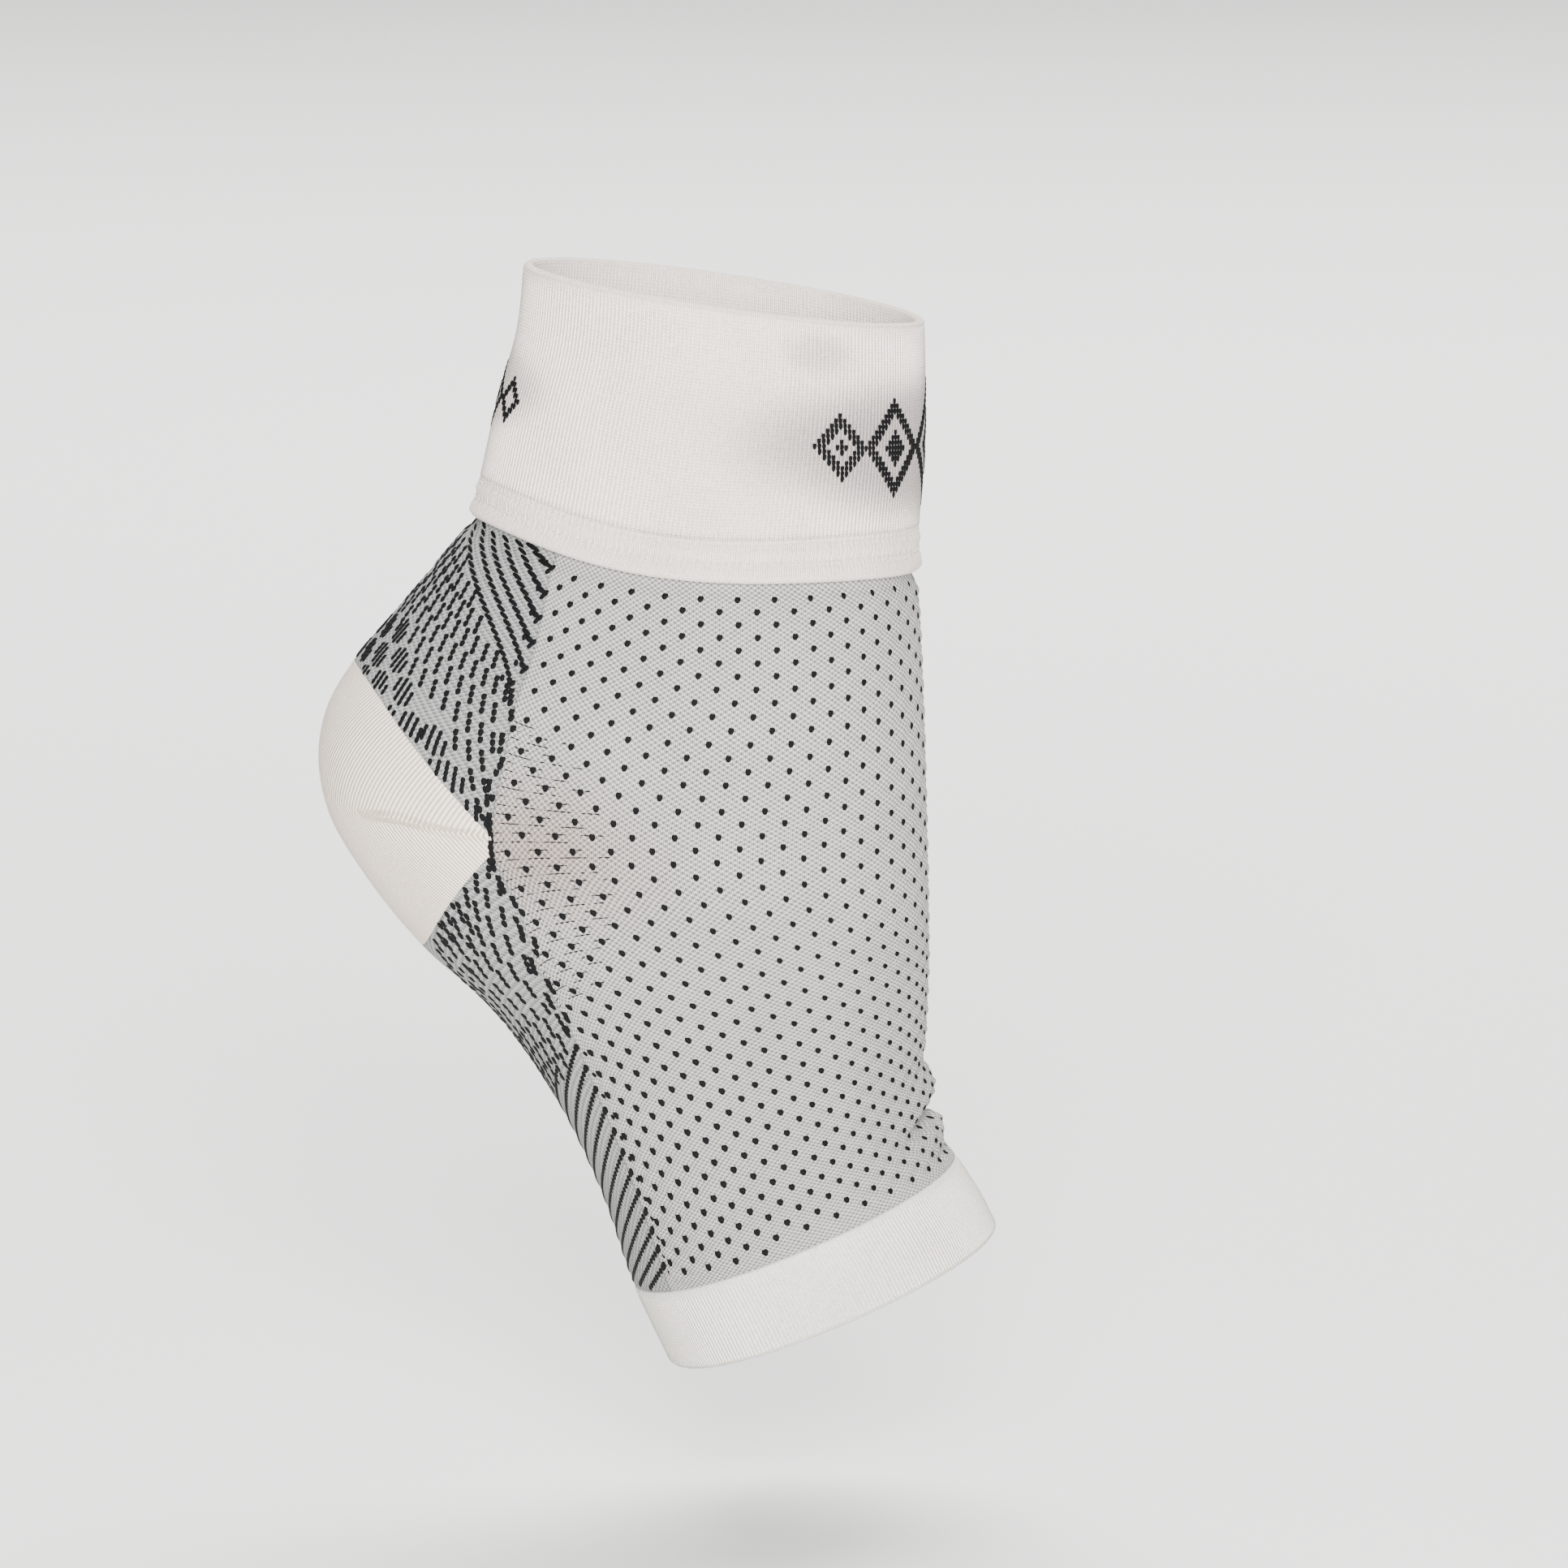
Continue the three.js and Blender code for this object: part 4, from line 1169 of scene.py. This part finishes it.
# Steps of level and turn from bar to bar, and from loop to loop
BAR_STEP = (0.8, 0.0108)
BAR_LOOP_STEP = (0.96, -0.0004)
# Least distances in millimetres from the fan, from the other edges and from mark to mark, and least
# turns from the seam to a group's middle and to a loop, and from the back line
FAN_MARGIN = 1.6
EDGE_MARGIN = 0.6
MARK_GAP = 0.9
GROUP_MARGIN = 0.012
LOOP_MARGIN = 0.004
BACK_MARGIN = 0.009


def fan_edge(turn):
    """Level of the fan's lowest line at each turn."""
    end_level, end_turn, slope, bend = FAN_LINES[-1]
    away = np.maximum(end_turn - turn, 0)
    return end_level - (np.sqrt(slope**2 + 4 * bend * away) - slope) / (2 * bend)


def well_apart(level, turn, gap):
    """Places that lie at least a gap, in millimetres, from every place before them."""
    across = turn * turn_length(level, turn)
    apart = np.hypot(level[:, None] - level, across[:, None] - across)
    return ~(np.tril(apart < gap, -1)).any(1)


def triplet_marks():
    """Groups of three loops in a slant, in rows that bend a little as they go round."""
    c, row, k = (a.ravel() for a in np.meshgrid(np.arange(-9, 6), np.arange(len(THREE_ROWS)), (-1, 0, 1)))
    level, turn, level_step, turn_step = THREE_ROWS[row].T
    level = level + level_step * c + THREE_BEND[0] * c * c
    turn = turn + turn_step * c + THREE_BEND[1] * c * c
    keep = (level > fan_edge(turn) + FAN_MARGIN) & (turn < panel_turn(level) - GROUP_MARGIN)
    keep &= turn > np.maximum(np.interp(level, *SET_LIMIT.T), BACK_MARGIN)
    level, turn = level + THREE_SLANT[0] * k, turn + THREE_SLANT[1] * k
    keep &= (level < pocket_upper(turn) - EDGE_MARGIN) & (level > hem_line(turn) + EDGE_MARGIN)
    keep &= turn < panel_turn(level) - LOOP_MARGIN
    return level[keep], turn[keep]


def bar_marks():
    """A set is four bars of three, five, five and three loops, cut off by the heel pocket."""
    sets = np.array(BAR_SETS)
    grid = np.meshgrid(np.arange(len(sets)), (-1.5, -0.5, 0.5, 1.5), np.arange(-2, 3), indexing="ij")
    one, bar, k = (a.ravel() for a in grid)
    level = sets[one, 0] + BAR_STEP[0] * bar + BAR_LOOP_STEP[0] * k
    turn = sets[one, 1] + BAR_STEP[1] * bar + BAR_LOOP_STEP[1] * k
    keep = (np.abs(k) < 2) | (np.abs(bar) < 1)
    keep &= (turn > 0.0) & (level < pocket_upper(turn) - 0.5) & (turn < panel_turn(level) - 0.006)
    return level[keep], turn[keep]


# %% Heavy marks along the seam
# Columns: level and how far the mark lies from the seam, in millimetres towards the back
SEAM_MARKS = [
    (82.2, 1.6), (83.4, 1.3), (84.6, 1.1), (86.4, 0.4), (87.6, 0.2), (89.6, -0.6), (91.4, 1.3), (92.6, 1.2),
    (94.2, 1.2), (96.0, 0.4), (97.2, 0.6), (98.6, 1.0), (100.6, 1.9), (101.8, 1.8), (103.4, 0.7),
    (104.6, 1.6),
    (106.9, 0.8), (108.2, 0.6), (109.4, 0.6), (110.6, 0.3), (111.8, 0.3), (113.0, 0.4), (114.2, 0.4),
    (115.6, 0.5), (117.0, 0.9), (119.0, 0.9), (120.2, 1.0), (121.4, 1.2), (123.0, 0.2), (124.2, 0.2),
    (125.6, -0.6), (127.4, 1.2), (129.0, 0.9), (130.2, 0.9), (131.4, 1.1), (131.2, -1.4), (132.4, -1.2),
    (134.0, -0.8), (135.8, 0.8), (137.2, 0.9), (138.4, 1.0), (140.4, -0.9), (141.6, -0.8), (142.8, -1.0),
    (144.0, 0.9), (145.4, 1.0), (146.8, 1.1), (148.6, -0.8), (149.8, -0.7), (151.8, 0.5), (153.0, 0.9),
]


def seam_marks():
    """Level and turn of the table's marks."""
    level, away = np.array(SEAM_MARKS).T
    seam = panel_turn(level)
    return level, seam - away / turn_length(level, seam)


# %% Marks above the heel
# Columns: width, height and lean of a loop, and width of its yarn
LOOPS = {
    "group": (0.42, 1.5, -0.18, 1.02),
    "bar": (0.34, 1.35, 0.0, 0.84),
    "upper seam": (0.66, 1.6, 0.1, 0.9),
    "arch group": (0.42, 1.5, 0.3, 1.02),
    "lower seam": (0.66, 1.6, 0.2, 0.9),
}
MARK_HEIGHT = 0.42


def flat_lift(level, turn):
    """Marks of the firm panels lie half sunk in the cloth."""
    return 0.02 + np.where(level < CORNER_LEVEL, body_lift(level, turn), 0.0)


def firm_marks(name, bars, groups):
    """Bars, in rows as fan_marks gives them, and groups of loops, on both sides, as one piece."""
    marks = [bars]
    for level, turn, kind in groups:
        *loop, yarn = LOOPS[kind]
        starts, ends = loops_at(level, turn, *loop)
        marks.append(np.stack([*starts, *ends, np.full(len(starts[0]), yarn)]))
    marks = np.concatenate(marks, 1)
    marks = np.concatenate([marks, marks * [[1], [-1], [1], [-1], [1]]], 1)
    yarns = [marks[0:2], marks[2:4], marks[4], MARK_HEIGHT]
    return lobes(name, "firm_knit", BLACK_YARN, *yarns, flat_lift)


triplet_level, triplet_turn = triplet_marks()
bar_level, bar_turn = bar_marks()
seam_level, seam_turn = seam_marks()
upper = seam_level < CORNER_LEVEL
apart = well_apart(np.append(triplet_level, bar_level), np.append(triplet_turn, bar_turn), MARK_GAP)
groups_apart, bars_apart = np.split(apart, [len(triplet_level)])
achilles_marks = firm_marks("achilles_marks", fan_marks(), [
    (triplet_level[groups_apart], triplet_turn[groups_apart], "group"),
    (bar_level[bars_apart], bar_turn[bars_apart], "bar"),
    (seam_level[upper], seam_turn[upper], "upper seam"),
])


# %% Arch marks
# Columns: level and turn of a row's middle group, and steps of level and turn to the next one back
ARCH_ROWS = np.array([
    (93.4, 0.445, 3.80, -0.0260),
    (100.2, 0.420, 3.70, -0.0260),
    (107.0, 0.395, 3.60, -0.0260),
    (113.8, 0.370, 3.45, -0.0260),
    (120.5, 0.348, 3.10, -0.0268),
    (127.1, 0.329, 2.41, -0.0285),
    (133.0, 0.309, 2.19, -0.0310),
    (139.0, 0.280, 2.16, -0.0345),
    (144.9, 0.242, 2.00, -0.0375),
    (150.4, 0.199, 1.84, -0.0380),
    (155.0, 0.168, 1.45, -0.0360),
    (159.0, 0.143, 1.25, -0.0330),
    (162.8, 0.120, 1.15, -0.0310),
])
ARCH_SLANT = (1.5, -0.0045)
ARCH_LINES = 12
ARCH_LINE_PITCH = 4.1
ARCH_LINE_FIRST = 155.6
ARCH_LINE_SQUEEZE = 0.06
ARCH_HEAD_TURN = 0.230
ARCH_HEAD_LEAD = (0.039, 3.5)
DASH_STEP = 0.0098
HALF_DASH = (0.1, 0.0054)
ARCH_BACK_MARGIN = 0.005
ARCH_MARK_GAP = 1.0
LINE_MARGIN = 0.8
# Slope and bend of the first line, and how much less they are on each line after it
ARCH_SLOPE = (94, 3.6)
ARCH_BEND = (95, 4)
# Columns: level and turn of a bar's two ends, from the line's head, and its width
ARCH_HEAD = np.array([(-0.8, 0.005, 0.6, -0.002, 1.5), (0.7, 0.0085, 1.6, 0.0115, 0.85)])


def arch_line_drop(line, run):
    """Levels below its head that a line has fallen after a run of turn towards the back."""
    slope = ARCH_SLOPE[0] - ARCH_SLOPE[1] * line
    bend = ARCH_BEND[0] - ARCH_BEND[1] * line
    return slope * run - bend * run * run


def first_line(turn):
    """Level of the uppermost slanted line."""
    head_turn = ARCH_HEAD_TURN + ARCH_HEAD_LEAD[0]
    return ARCH_LINE_FIRST + arch_line_drop(0, np.maximum(head_turn - turn, 0))


def arch_triplets():
    """Columns of groups of three. Each group leans to the back, and the next starts beside its end."""
    c, row, k = (a.ravel() for a in np.meshgrid(np.arange(-5, 17), np.arange(len(ARCH_ROWS)), (-1, 0, 1)))
    level, turn, level_step, turn_step = ARCH_ROWS[row].T
    level, turn = level + level_step * c, turn + turn_step * c
    keep = (turn < panel_turn(level) - 0.006) & (level < first_line(turn) - 1.0)
    level, turn = level + ARCH_SLANT[0] * k, turn + ARCH_SLANT[1] * k
    keep &= (turn > ARCH_BACK_MARGIN) & (turn < panel_turn(level) - LOOP_MARGIN)
    keep &= (level > pocket_lower(turn) + EDGE_MARGIN) & (level < first_line(turn) - LINE_MARGIN)
    level, turn = level[keep], turn[keep]
    apart = well_apart(level, turn, ARCH_MARK_GAP)
    return level[apart], turn[apart]


def arch_lines():
    """Slanted lines of bars from a thick head at the seam down to the middle of the sole."""
    bars = []
    for line in range(-1, ARCH_LINES):
        head_level = ARCH_LINE_FIRST + ARCH_LINE_PITCH * line - ARCH_LINE_SQUEEZE * line * line
        head_turn = ARCH_HEAD_TURN + ARCH_HEAD_LEAD[0] * np.exp(-line / ARCH_HEAD_LEAD[1])
        run = np.arange(0.004, head_turn, DASH_STEP)
        level = head_level + arch_line_drop(line, run)
        turn = head_turn - run
        keep = (level < LEVEL["bandTop"] - 0.8) & ((line >= 0) | (run > 0.1))
        level, turn = level[keep], turn[keep]
        wide = 1.15 + 0.35 * np.exp(-run[keep] / 0.06)
        rise, reach = HALF_DASH
        bars.append(np.stack([level + rise, turn - reach, level - rise, turn + reach, wide]))
        if line >= 0:
            bars.append((ARCH_HEAD + [head_level, head_turn, head_level, head_turn, 0]).T)
    return np.concatenate(bars, 1)


arch_marks = firm_marks("arch_marks", arch_lines(), [
    (*arch_triplets(), "arch group"),
    (seam_level[~upper], seam_turn[~upper], "lower seam"),
])

# %% [markdown]
# ## Toe band
# The band is a firm white rib, a little proud of the body, with a rounded edge at the toes.

# %% Toe band
BAND_RIB_PITCH = 0.82
BAND_RIB_DEPTH = 0.24
BAND_INNER_RIB = 0.5
BAND_STEP = (0, 1.6)
BAND_RIB_FADE = (0.6, 2.2)
band_turn, band_phase, band_ribs, band_girth = ribs_round(LEVEL["bandMiddle"], BAND_RIB_PITCH)
band_rib = rib(band_phase[:-1], BAND_RIB_DEPTH)
band_start = LEVEL["bandTop"] - SEAM_GAP
band_end = LEVEL["toeEdge"]
half_wall = BAND_WALL / 2
outer_level = band_start + (band_end - half_wall - band_start) * np.linspace(0, 1, 22)[:, None]
inner_level = outer_level[::-4]
edge_level = band_end - half_wall * (1 - np.sin(EDGE_ARC))
below_start = outer_level - band_start
outer_lift = band_rib * smoothstep(below_start, *BAND_RIB_FADE)
outer_lift = BAND_PROUD * smoothstep(below_start, *BAND_STEP) + outer_lift
edge_lift = BAND_PROUD - half_wall * (1 - np.cos(EDGE_ARC)) + 0 * band_turn
inner_lift = BAND_PROUD - BAND_WALL - band_rib * BAND_INNER_RIB + 0 * inner_level
band_level = np.concatenate([outer_level, edge_level, inner_level]) + 0 * band_turn
band_lift = np.concatenate([outer_lift, edge_lift, inner_lift])
band_along = np.linspace(0, 2 * (band_end - band_start) / COURSE, len(band_level) + 1)
# Firm white ribs, with less warmth than the cuff's, and painted shade in the gaps between loops
BAND_KNIT = knit("cotton_rib_knit", "fbf4ea", "9a9388", 0.18, lean=0.6, leg=0.35)
band_cloth = [band_level, band_turn, band_lift, band_phase, band_along]
band = ring_piece("toe_rib_band", "toe_band", "toe_rib", BAND_KNIT, *band_cloth)
print("toe band:", band_ribs, "ribs round", round(band_girth, 1), "mm")
